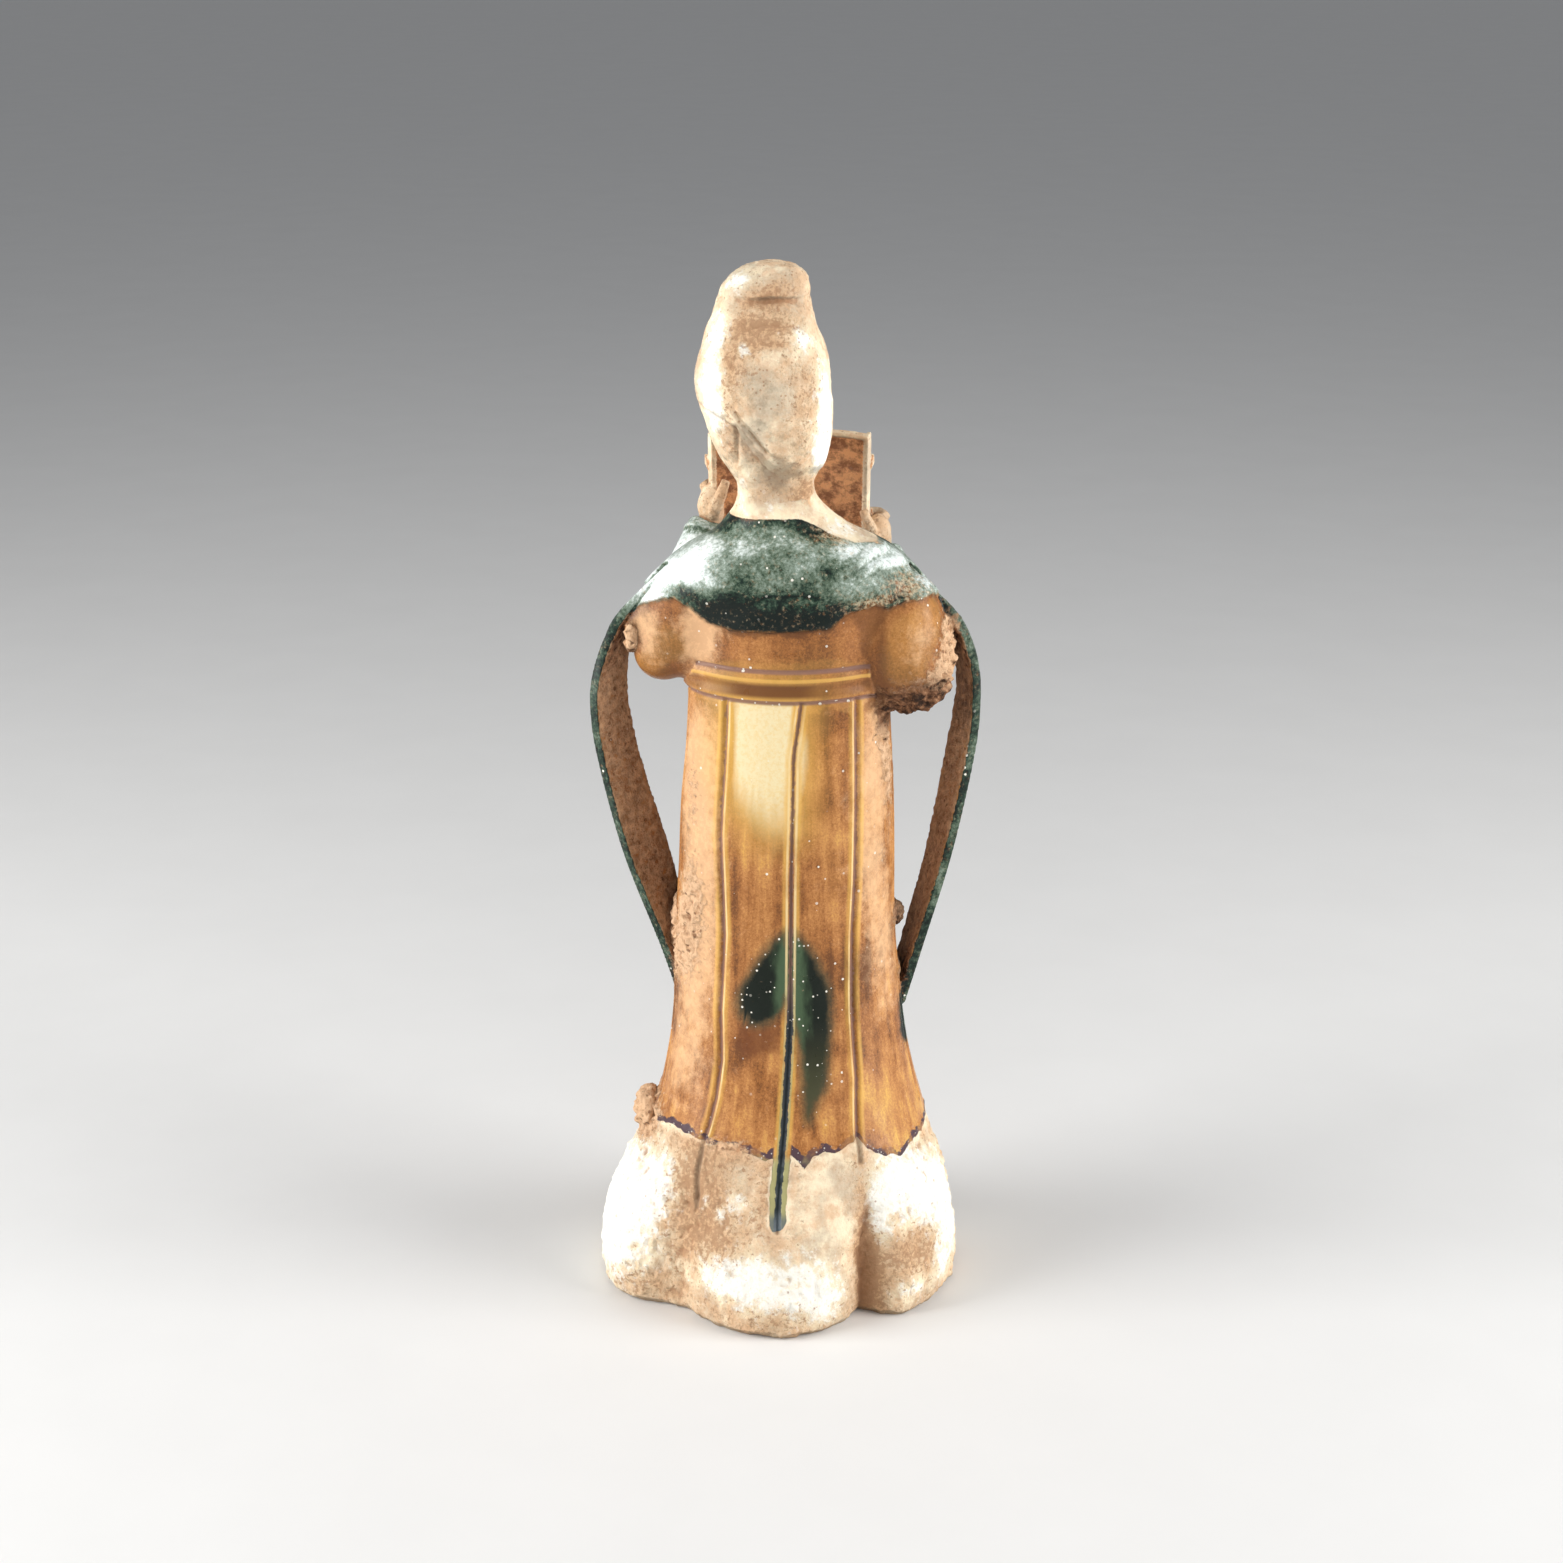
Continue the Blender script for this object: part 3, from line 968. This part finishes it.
# Where the earth is dark and damp-looking.
EARTH_GLOOM = [
    (-34, 8, 165, 12, 12, 8, 1.5), (-30, 2, 104, 4, 8, 6, 0.7), (28, -2, 100, 4, 8, 12, 0.25),
    (-30, 4, 88, 4, 8, 6, 0.6), (-25, 17, 181, 2.2, 9, 13, 0.9), (2.6, 10, 227.5, 3.4, 6, 4.4, 1.3),
    (11, 12, 238, 1.8, 6, 4, 0.6), (6, 16, 247, 5, 8, 10, 0.5),
]
GREEN_RUN = [(-32, 4, 74, 2.5, 5, 9, 1.0)]
HOLLOW_ROUNDS = 14


def patched(turn, height, patches):
    """Sum of soft patches round the figure, each given by degrees and height."""
    total = np.zeros(len(turn))
    for degrees, level, wide, tall, amount in patches:
        off = (turn - degrees + 540) % 360 - 180
        total += amount * np.exp(-(off / wide) ** 2 - ((height - level) / tall) ** 2)
    return total


places, faces = points_of(figure), facings()
across, height, turn = places[:, 0], places[:, 2], degrees_round(places)
behind = eased(places[:, 1], 0, 4)
robe_skin, sleeve_skin, hair_skin, hanging, pipes, rim_skin, hands, lump = (
    np.clip(read_field(name), 0, 1)
    for name in ("robe", "sleeve", "hair", "hanging", "pipes", "rim", "hand", "lump")
)
head_skin = np.clip(read_field("head") + hair_skin + read_field("neck"), 0, 1)
cloth = np.clip(robe_skin + sleeve_skin, 0, 1)
inward = eased(-faces[:, 0] * np.sign(across), -0.1, 0.5)

shawl = shawl_distance(places)
bead = glaze_height(places)
pleat, past = pleat_distance(places)
collar_before = np.where(np.abs(across) > 15, 6, np.interp(across, *zip(*NECKLINE)) - height)
collar_behind = np.where(np.abs(across + 5.5) > 20.5, 6, np.interp(across, *zip(*NECKLINE_BEHIND)) - height)
share = eased(places[:, 1], -9, -2)
collar = np.clip(collar_before, -6, 6) * (1 - share) + np.clip(collar_behind, -6, 6) * share
glazed = np.minimum(bead, np.clip(collar, -6, 6))
near_drip = (np.abs(turn) < 20) & (height < 60)
drip = DRIP_HALF_WIDTH - np.hypot(pleat, np.maximum(DRIP_FOOT + DRIP_HALF_WIDTH - height, 0))
drip += 0.45 * rolling(places, 1.7, 15)
glazed = np.where(near_drip, np.maximum(glazed, drip), glazed)
glazed = np.where(head_skin + hands + pipes + rim_skin > 0.5, -6, glazed)
glazed = np.where(hanging > 0.5, 6, glazed)
green = np.where(hanging > 0.5, 5 - 9 * inward, np.maximum(shawl, 3.5 * blotted(places, GREEN_RUN) - 1.5))
splash_left, splash_right = (outline_distance(across, height, side) for side in (SPLASH_LEFT, SPLASH_RIGHT))
splash = np.where(places[:, 1] > 5, np.maximum(splash_left, splash_right), -20)
stain = np.where(places[:, 1] > 5, outline_distance(across, height, STAIN), -20)
fade = 0.6 + 7.5 * (1 - eased(height, 128, 152))
cream_edge = outline_distance(across, height, CREAM)
sliver_edge = outline_distance(across, height, CREAM_SLIVER)
cream = np.maximum(eased(cream_edge, -fade, fade), 0.8 * eased(sliver_edge, -1.2, 1.2)) * behind
yellow = np.maximum(eased(cream_edge, -13, 1), 0.8 * eased(sliver_edge, -6, 0)) * behind
pleat_ends = 1 - eased(past, 0.2, 1.2)
lined = (1 - eased(np.abs(turn), 60, 64)) * pleat_ends
pale_side = np.where(np.abs(np.abs(turn) - 42.5) < 22.5, eased(pleat * np.sign(turn), -0.3, 0.3), 1)
bare_top = np.where(collar < 0, 1, head_skin)
white = np.where(height < 70, patched(turn, height, WHITE_PATCHES), blotted(places, HEAD_WHITES) * bare_top)
hem = eased(-bead, -1, 2)
soil = hem * (0.58 + patched(turn, height, SOIL_PATCHES)) + head_skin * (0.42 + blotted(places, HEAD_SOIL))
for level, width, rise in HAIR_RINGS[::2]:
    ring = rounded(height - ring_height(level, across), 1.5) * np.exp(-((across - 5) / 7) ** 4)
    soil += 0.4 * ring * hair_skin * behind
soil += 0.55 * hands + 0.5 * blotted(places, EARTH_PATCHES) + 0.35 * rim_skin
soil -= eased(drip, -0.8, 0.2) * near_drip + 0.34 * np.clip(white, 0, 1)
rusty = pipes * eased(faces[:, 1], 0.1, 0.5)
earth = blotted(places, EARTH_PATCHES) + 1.2 * lump + 0.85 * inward * hanging + 0.25 * pipes + 0.95 * rusty
foot = 2.6 + 1.9 * np.exp(-((turn - 1) / 17) ** 4)
gloom = blotted(places, EARTH_GLOOM) + 0.5 * hanging + 0.8 * eased(-faces[:, 2], 0.1, 0.7)
hollow = ((levelled(places, HOLLOW_ROUNDS, 1.0) - places) * faces).sum(axis=1)

for name, values in {
    "glazed": glazed, "green": green, "pleat": np.clip(pleat, -9, 9), "pleated": robe_skin * pleat_ends,
    "pale_side": pale_side * lined, "lined": lined, "splash": splash, "stain": stain, "cream": cream,
    "yellow": yellow, "white": white, "soil": soil, "earth": earth, "gloom": gloom, "hollow": hollow,
    "thin": blotted(places, SHAWL_PALE) - 0.35 * hanging, "brown": blotted(places, SHAWL_BROWN),
    "worn": blotted(places, PALE_WORN), "belted": robe_skin, "rusty": rusty, "foot": foot,
}.items():
    write_field(name, values)
for name in ("robe", "sleeve", "hanging", "neck", "head", "hair", "pipes", "rim", "hand", "lump"):
    figure.data.attributes.remove(figure.data.attributes[name])

# The material: runny lead glazes over pale clay. Amber pools dark in hollows and thins to yellow
# on ridges, green goes from bottle black to pale grey, and worn earth lies over all of it.
AMBER_DARK = (0.155, 0.060, 0.022, 1)
AMBER = (0.345, 0.136, 0.042, 1)
AMBER_LIGHT = (0.52, 0.235, 0.078, 1)
AMBER_YELLOW = (0.74, 0.43, 0.11, 1)
AMBER_WORN = (0.84, 0.52, 0.28, 1)
CREAM_GLAZE = (0.82, 0.69, 0.42, 1)
RED_STAIN = (0.155, 0.052, 0.020, 1)
GRIME = (0.21, 0.165, 0.115, 1)
STRIPE_PURPLE = (0.27, 0.15, 0.115, 1)
STRIPE_BLACK = (0.025, 0.035, 0.04, 1)
STRIPE_PALE = (0.80, 0.62, 0.32, 1)
STRIPE_YELLOW = (0.76, 0.44, 0.10, 1)
OLIVE = (0.36, 0.33, 0.15, 1)
DRIP_BLUE = (0.10, 0.125, 0.14, 1)
EDGE_PURPLE = (0.085, 0.050, 0.06, 1)
GREEN_BLACK = (0.008, 0.013, 0.011, 1)
GREEN_DEEP = (0.022, 0.045, 0.030, 1)
GREEN_MID = (0.10, 0.14, 0.095, 1)
GREEN_GREY = (0.25, 0.31, 0.25, 1)
GREEN_PALE = (0.84, 0.90, 0.87, 1)
SHAWL_TAN = (0.72, 0.56, 0.36, 1)
SPLASH_BLACK = (0.010, 0.014, 0.010, 1)
SPLASH_GREEN = (0.065, 0.105, 0.055, 1)
CLAY_TAN = (0.78, 0.54, 0.34, 1)
CLAY_CREAM = (0.92, 0.78, 0.56, 1)
CLAY_CHALK = (0.95, 0.83, 0.58, 1)
CLAY_GREY = (0.52, 0.42, 0.31, 1)
SLIP_WHITE = (0.96, 0.93, 0.84, 1)
SOIL_LIGHT = (0.72, 0.46, 0.26, 1)
SOIL_DARK = (0.40, 0.21, 0.11, 1)
EARTH_PALE = (0.83, 0.54, 0.325, 1)
EARTH_LIGHT = (0.56, 0.31, 0.165, 1)
EARTH_MID = (0.22, 0.10, 0.05, 1)
EARTH_DARK = (0.045, 0.024, 0.015, 1)
RUST_LIGHT = (0.80, 0.40, 0.185, 1)
RUST_DARK = (0.30, 0.13, 0.065, 1)
PINHOLE = (0.84, 0.80, 0.70, 1)
# Glaze lines round the waistband: height, half width, colour and strength.
WAIST_COLOURS = [
    (176.9, 0.8, STRIPE_PURPLE, 0.85), (174.6, 0.7, AMBER_YELLOW, 0.7), (171.8, 2.6, AMBER_DARK, 0.95),
    (168.6, 0.9, STRIPE_PURPLE, 0.85),
]


class Shade:
    """A value or colour that changes over the surface, and the sums that nodes do on it."""

    def __init__(self, socket):
        self.socket = socket

    def __add__(self, other):
        return figured("ADD", self, other)

    def __sub__(self, other):
        return figured("SUBTRACT", self, other)

    def __rsub__(self, other):
        return figured("SUBTRACT", other, self)

    def __mul__(self, other):
        return figured("MULTIPLY", self, other)

    def __rtruediv__(self, other):
        return figured("DIVIDE", other, self)

    def __abs__(self):
        return figured("ABSOLUTE", self)


def put(socket, value):
    """Links a shade to a socket of the tree in hand, or sets the socket's own value."""
    if isinstance(value, Shade):
        tree.links.new(value.socket, socket)
    else:
        socket.default_value = value


def added(kind, inputs, **settings):
    """A new node of the tree in hand."""
    node = tree.nodes.new("ShaderNode" + kind)
    for name, setting in settings.items():
        setattr(node, name, setting)
    for name, value in inputs.items():
        put(node.inputs[name], value)
    return node


def figured(operation, *values):
    return Shade(added("Math", dict(enumerate(values)), operation=operation).outputs[0])


def stepped(value, low, high, to_low=0.0, to_high=1.0):
    """A soft step from to_low to to_high as the value goes from low to high."""
    inputs = {"Value": value, "From Min": low, "From Max": high, "To Min": to_low, "To Max": to_high}
    return Shade(added("MapRange", inputs, interpolation_type="SMOOTHSTEP").outputs["Result"])


def place_of(stretch=(1, 1, 1)):
    """Object coordinates, squeezed along each axis."""
    place = Shade(added("TexCoord", {}).outputs["Object"])
    return Shade(added("Mapping", {"Vector": place, "Scale": stretch}).outputs["Vector"])


def clouded(size, detail=3.0, roughness=0.55, stretch=(1, 1, 1)):
    """Cloudy variation from 0 to 1, with clouds of about the given size in millimetres."""
    inputs = {"Vector": place_of(stretch), "Scale": 1 / MM / size, "Detail": detail, "Roughness": roughness}
    return Shade(added("TexNoise", inputs).outputs["Fac"])


def field_of(name):
    return Shade(added("Attribute", {}, attribute_name=name).outputs["Fac"])


def mixed(share, low, high):
    return Shade(added("Mix", {"Factor": share, 6: low, 7: high}, data_type="RGBA").outputs[2])


def layered(ground, *layers):
    """A ground colour under layers, each a share and a colour."""
    for share, colour in layers:
        ground = mixed(share, ground, colour)
    return ground


def ramped(value, *stops):
    """Colours in turn as the value rises, each given by its place and colour."""
    node = added("ValToRGB", {"Fac": value})
    while len(node.color_ramp.elements) < len(stops):
        node.color_ramp.elements.new(0.5)
    for element, (position, colour) in zip(node.color_ramp.elements, stops):
        element.position = position
        element.color = colour
    return Shade(node.outputs["Color"])


def group(name, inputs):
    """A node group that gives a mask: the group, its inputs and its mask's socket."""
    made = bpy.data.node_groups.new(name, "ShaderNodeTree")
    for label, value in inputs.items():
        made.interface.new_socket(label, in_out="INPUT", socket_type="NodeSocketFloat").default_value = value
    made.interface.new_socket("Mask", in_out="OUTPUT", socket_type="NodeSocketFloat")
    entry, end = made.nodes.new("NodeGroupInput"), made.nodes.new("NodeGroupOutput")
    return made, [Shade(entry.outputs[label]) for label in inputs], end.inputs["Mask"]


def masked(made, **values):
    """The mask of a group for the given inputs."""
    inputs = {name.capitalize(): value for name, value in values.items()}
    return Shade(added("Group", inputs, node_tree=made).outputs["Mask"])


# An edge of glaze, slip or earth is never clean: clouds of its own size move it in and out.
ragged, (field, middle, size, reach, blur), mask = group(
    "ragged edge", {"Field": 0, "Middle": 0, "Size": 3, "Reach": 1, "Blur": 0.2},
)
tree = ragged
wander = (clouded(size, 5.0, 0.7) - 0.5) * (reach * 2.0)
put(mask, stepped(field - middle + wander, blur * -1.0, blur))

# Pinholes and grains are scattered dots of uneven size.
dots, (spacing, size, share), mask = group("scattered dots", {"Spacing": 2, "Size": 0.25, "Share": 0.3})
tree = dots
cells = added("TexVoronoi", {"Vector": place_of(), "Scale": 1 / MM / spacing}).outputs
draws = added("SeparateColor", {"Color": Shade(cells["Color"])}).outputs
dot_size = size * stepped(Shade(draws["Green"]), 0, 1, 0.35, 1.0)
dot = figured("LESS_THAN", Shade(cells["Distance"]), dot_size)
put(mask, dot * figured("LESS_THAN", Shade(draws["Red"]), share))

glaze = bpy.data.materials.new("glazed_pottery")
glaze.use_nodes = True
tree = glaze.node_tree
skin = tree.nodes["Principled BSDF"].inputs
across, rearward, level = map(Shade, added("SeparateXYZ", {0: place_of((1 / MM,) * 3)}).outputs)
names = ("hollow", "gloom", "soil", "white", "worn", "pleated", "splash", "glazed", "green")
hollow, gloom, soil, white, worn, pleated, splash, glazed, green_edge = map(field_of, names)
pleat_side = abs(field_of("pleat"))

# Bare clay: tan to cream, with grey smears, thin soil, brown grains and patches of white slip.
speckle = clouded(1.1, 5.0, 0.75)
smear = masked(ragged, field=clouded(16, 2.0), middle=0.54, size=2.0, reach=0.06, blur=0.07)
soil_tone = mixed(stepped(speckle, 0.36, 0.56), SOIL_DARK, SOIL_LIGHT)
dusted = masked(ragged, field=soil, middle=0.60, size=4.5, reach=0.9, blur=0.40)
chalky = masked(ragged, field=white, middle=0.32, size=6.0, reach=0.9, blur=0.35)
slip = masked(ragged, field=white, middle=0.64, size=2.8, reach=1.35, blur=0.30)
crumbed = masked(ragged, field=soil, middle=0.92, size=1.5, reach=1.9, blur=0.2)
flecks = masked(ragged, field=soil, middle=0.62, size=1.0, reach=1.5, blur=0.05)
grains = masked(dots, spacing=0.9, size=0.34, share=0.3)
grain_zone = stepped(clouded(8, 4.0, 0.6), 0.42, 0.58, 0.1, 0.7) * stepped(level, 60, 200, 0.35, 1.0)
grimed = masked(ragged, field=gloom, middle=0.55, size=2.5, reach=0.8, blur=0.4)
clay = layered(
    mixed(stepped(clouded(6, 6.0, 0.7), 0.38, 0.60), CLAY_TAN, CLAY_CREAM),
    (smear * 0.6, CLAY_GREY),
    (dusted * 0.8, soil_tone),
    (chalky * 0.55, CLAY_CHALK),
    (slip * stepped(speckle, 0.36, 0.50, 0.72, 1.0), SLIP_WHITE),
    (crumbed * 0.8, SOIL_DARK),
    (stepped(soil, 1.1, 1.9) * stepped(speckle, 0.60, 0.42, 0.4, 0.85), EARTH_MID),
    (flecks * 0.25, SOIL_LIGHT),
    (grains * grain_zone, SOIL_DARK),
    (stepped(hollow, 0.08, 0.5, 0.0, 0.7), SOIL_DARK),
    (grimed * 0.6, GRIME),
    (stepped(pleat_side, 1.3, 0.4) * pleated * 0.5, GRIME),
)

# Amber glaze: long runs down the skirt, dark where it pools and yellow where it thins, and cream in
# one patch that caught no colour.
runs = (clouded(3.2, 4.0, 0.65, (1, 1, 0.06)) - 0.5) * stepped(level, 150, 182, 0.46, 0.14)
grainy = clouded(0.7, 3.0, 0.8) * 0.26 + (clouded(0.5, 2.0, 0.8) - 0.5) * 0.18
by_level = stepped(level, 82, 54, 0.0, 0.065) - stepped(level, 135, 112, 0.0, 0.022)
by_level = by_level - stepped(level, 168, 178, 0.0, 0.045)
tone = runs + clouded(13, 4.0, 0.55) * 0.42 + grainy + by_level + 0.16
worn_off = masked(ragged, field=worn, middle=0.5, size=4.0, reach=0.7, blur=0.4)
scuffs = masked(ragged, field=worn, middle=0.85, size=1.4, reach=1.8, blur=0.1)
amber = layered(
    ramped(tone, (0.38, AMBER_DARK), (0.475, AMBER), (0.57, AMBER_LIGHT), (0.70, AMBER_YELLOW)),
    (stepped(hollow, 0.06, 0.40, 0.0, 0.6), AMBER_DARK),
    (stepped(hollow, -0.08, -0.35, 0.0, 0.15), AMBER_YELLOW),
    (stepped(gloom, 0.2, 1.1, 0.0, 0.85), AMBER_DARK),
    (worn_off * 0.8, AMBER_WORN),
    (scuffs * 0.4, EARTH_LIGHT),
    (field_of("yellow") * 0.65, STRIPE_YELLOW),
    (field_of("cream"), mixed(stepped(speckle, 0.36, 0.60), STRIPE_PALE, CREAM_GLAZE)),
)

# The pleats are drawn through the glaze, with yellow spread on either side of each line. Over them
# lie the green splash and the red-brown stain under it, blurred where the glaze ran.
middle_pleat = figured("LESS_THAN", abs(across), 9) * figured("GREATER_THAN", rearward, 5)
patchy = stepped(clouded(7, 4.0, 0.6, (1, 1, 0.4)), 0.38, 0.58, 0.35, 1.0)
yellow_line = stepped(abs(pleat_side - 1.5), 1.2, 0.3) * patchy
stain = masked(ragged, field=field_of("stain"), middle=0.0, size=5.0, reach=1.6, blur=2.2)
halo = masked(ragged, field=splash, middle=-1.2, size=5.0, reach=1.4, blur=1.9)
core = masked(ragged, field=splash, middle=0.4, size=3.0, reach=1.4, blur=0.9)
greener = pleat_side + clouded(4, 4.0, 0.6, (1, 1, 0.4)) * 7.0
splash_tone = mixed(stepped(greener, 5.5, 9.5), SPLASH_GREEN, SPLASH_BLACK)
splash_tone = mixed(stepped(level, 84, 58, 0.0, 0.16), splash_tone, OLIVE)

# Down the middle pleat the green ran on, between olive lips. The other lines are purple, with cream
# on the side that caught less colour.
ran_green = stepped(level, 98, 80) * middle_pleat
caught = stepped(abs(pleat_side - 1.1), 0.5, 0.12) * patchy * field_of("pale_side")
stripe_width = ran_green * 0.45 + (clouded(1.6, 3.0) - 0.5) * 1.3 + 0.5
stripe = stepped(pleat_side - stripe_width, 0.1, -0.2, 0.0, 0.78) * (ran_green * 0.26 + 1.0)
amber = layered(
    amber,
    (yellow_line * 0.55 * field_of("lined"), STRIPE_YELLOW),
    (stain * 0.8, RED_STAIN),
    (halo * 0.8, GREEN_DEEP),
    (core, splash_tone),
    (caught * 0.8, mixed(stepped(level, 110, 60) * middle_pleat, STRIPE_PALE, OLIVE)),
    (stepped(level, 48, 45) * middle_pleat, OLIVE),
    (stripe * pleated, mixed(ran_green, STRIPE_PURPLE, STRIPE_BLACK)),
    (stepped(level, 34, 31) * middle_pleat * 0.8, DRIP_BLUE),
)

# The waistband: purple lines at its borders, with burst bubbles, and between them a yellow ridge and a
# hollow that is darkest in the middle of the back.
belted = field_of("belted")
belt_specks = masked(dots, spacing=1.5, size=0.3, share=0.3)
amid = stepped(abs(across - 3.5), 17, 7, 0.45, 1.0)
for line, width, colour, strength in WAIST_COLOURS:
    there = stepped(abs(level - line), width, width * 0.4, 0.0, strength) * belted
    amber = mixed(there * amid if colour == AMBER_DARK else there, amber, colour)
    if colour == STRIPE_PURPLE:
        amber = mixed(there * belt_specks, amber, PINHOLE)

# Green glaze on the shawl and bands: bottle black where it pooled, pale on the raised folds, and
# thin enough in places for the brown underneath to show.
pooled = clouded(9, 5.0, 0.6) * 0.6 + stepped(green_edge, 7, 1, 0.02, -0.09) + 0.155
pooled = pooled + stepped(hollow, 0.1, -0.30, -0.05, 0.12) + field_of("thin") * 0.28
browned = masked(ragged, field=field_of("brown"), middle=0.6, size=1.2, reach=1.5, blur=0.5)
green = mixed(
    browned * 0.75,
    ramped(
        pooled + (speckle - 0.5) * 0.66,
        (0.37, GREEN_BLACK), (0.46, GREEN_DEEP), (0.55, GREEN_MID), (0.67, GREEN_GREY), (0.86, GREEN_PALE),
    ),
    mixed(stepped(speckle, 0.38, 0.58), AMBER, SHAWL_TAN),
)
green_mask = masked(ragged, field=green_edge, middle=0.0, size=3.0, reach=1.5, blur=0.8)

# Pinholes stand white in the glaze, the largest round the splash. The rolled foot of the glaze is
# purple black, in frosted beads, and the drip breaks it.
holes = masked(dots, spacing=2.2, size=0.17, share=0.26)
blisters = masked(dots, spacing=1.25, size=0.26, share=0.34)
blister_zone = stepped(splash, -3.5, -1.0) * stepped(clouded(5, 2.0), 0.45, 0.55)
swelling = clouded(2.6, 3.0, 0.6) * field_of("foot")
foot = stepped(abs(glazed - 0.55) - swelling, -0.1, -0.5)
foot = foot * figured("MAXIMUM", stepped(pleat_side, 2.0, 2.6), 1.0 - middle_pleat)
foot = foot * stepped(level, 60, 58) * stepped(level, 40, 41.5)
frost = masked(dots, spacing=0.7, size=0.34, share=0.36)
coat = layered(
    mixed(green_mask, amber, green),
    (holes * stepped(clouded(22, 2.0), 0.40, 0.62, 0.1, 1.0), PINHOLE),
    (blisters * blister_zone, PINHOLE),
    (foot * stepped(clouded(6, 2.0), 0.36, 0.50, 0.4, 1.0), EDGE_PURPLE),
    (frost * foot * 0.6, PINHOLE),
)
covered = masked(ragged, field=glazed, middle=0.0, size=3.0, reach=0.5, blur=0.12)

# Earth over everything: light dry crust with dark pits, darker where it lies in shelter, and rusty
# on the rear of the pipes.
earthed = masked(ragged, field=field_of("earth"), middle=0.64, size=1.8, reach=1.2, blur=0.28)
pits = clouded(2.4, 5.0, 0.68)
pocked = masked(dots, spacing=1.5, size=0.42, share=0.4) * stepped(pits, 0.58, 0.44, 0.1, 0.75)
earth = layered(
    ramped(pits, (0.36, EARTH_LIGHT), (0.50, EARTH_PALE)),
    (pocked, EARTH_MID),
    (stepped(gloom, 0.1, 0.9), ramped(pits, (0.42, EARTH_DARK), (0.54, EARTH_MID), (0.70, EARTH_LIGHT))),
    (stepped(hollow, 0.12, 0.6, 0.0, 0.5), EARTH_MID),
    (field_of("rusty"), ramped(clouded(3.6, 5.0, 0.7), (0.42, RUST_DARK), (0.58, RUST_LIGHT))),
)
put(skin["Base Color"], layered(clay, (covered, coat), (earthed, earth)))

# Glaze has a soft gloss, and clay and earth have none. Fine relief, in millimetres: earth crumbs,
# clay grain, the glaze's slight orange peel and the thickness of the slip.
matt = figured("MAXIMUM", 1.0 - covered, earthed)
gloss = stepped(clouded(6, 4.0, 0.6), 0.3, 0.7, 0.24, 0.46) + worn_off * 0.2
put(skin["Roughness"], stepped(matt, 0, 1, gloss, 0.92))
skin["IOR"].default_value = 1.5
skin["Specular IOR Level"].default_value = 0.18
lift = (pits - 0.5) * earthed * 1.5 + clouded(1.3, 5.0, 0.7) * matt * (dusted * 0.5 + 0.4)
lift = lift + clouded(1.3, 2.0) * 0.035 + slip * 0.12
bump = added("Bump", {"Strength": 1.0, "Distance": MM, "Height": lift})
put(skin["Normal"], Shade(bump.outputs["Normal"]))

figure.data.materials.clear()
figure.data.materials.append(glaze)
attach(figure, "root")
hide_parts("musician_figure")

# The figure stands on a plain pale floor, in soft light from two wide boxes at its sides and a
# weaker one behind the camera.
LIGHTS = {
    "left_box": ((0.9, 0.27, 0.46), 0.6, 1.0, 13.0),
    "right_box": ((-0.9, 0.27, 0.46), 0.6, 1.0, 12.0),
    "fill": ((0.05, 1.5, 1.1), 1.0, 0.8, 2.0),
}
LIGHTS_AIM = Vector((0, 0, 0.14))
FLOOR_SIDE = 16

deselect()
bpy.ops.mesh.primitive_plane_add(size=FLOOR_SIDE, location=(0, 0, 0))
floor = bpy.context.object
floor.name = "floor"
paper = bpy.data.materials.new("floor_paper")
paper.use_nodes = True
tree = paper.node_tree
skin = tree.nodes["Principled BSDF"].inputs
put(skin["Base Color"], mixed(clouded(40, 3.0), (0.78, 0.77, 0.75, 1), (0.82, 0.81, 0.79, 1)))
skin["Roughness"].default_value = 0.9
floor.data.materials.append(paper)

# Each light's place, width, height and power are in metres and watts.
for name, (place, wide, tall, power) in LIGHTS.items():
    deselect()
    way = LIGHTS_AIM - Vector(place)
    bpy.ops.object.light_add(type="AREA", location=place, rotation=way.to_track_quat("-Z", "Y").to_euler())
    lamp = bpy.context.object
    lamp.name = name
    lamp.data.shape = "RECTANGLE"
    lamp.data.size = wide
    lamp.data.size_y = tall
    lamp.data.energy = power

world = bpy.context.scene.world or bpy.data.worlds.new("studio")
bpy.context.scene.world = world
world.use_nodes = True
background = world.node_tree.nodes["Background"]
background.inputs["Color"].default_value = (0.92, 0.95, 1.0, 1)
background.inputs["Strength"].default_value = 0.27
bpy.context.scene.view_settings.view_transform = "Standard"
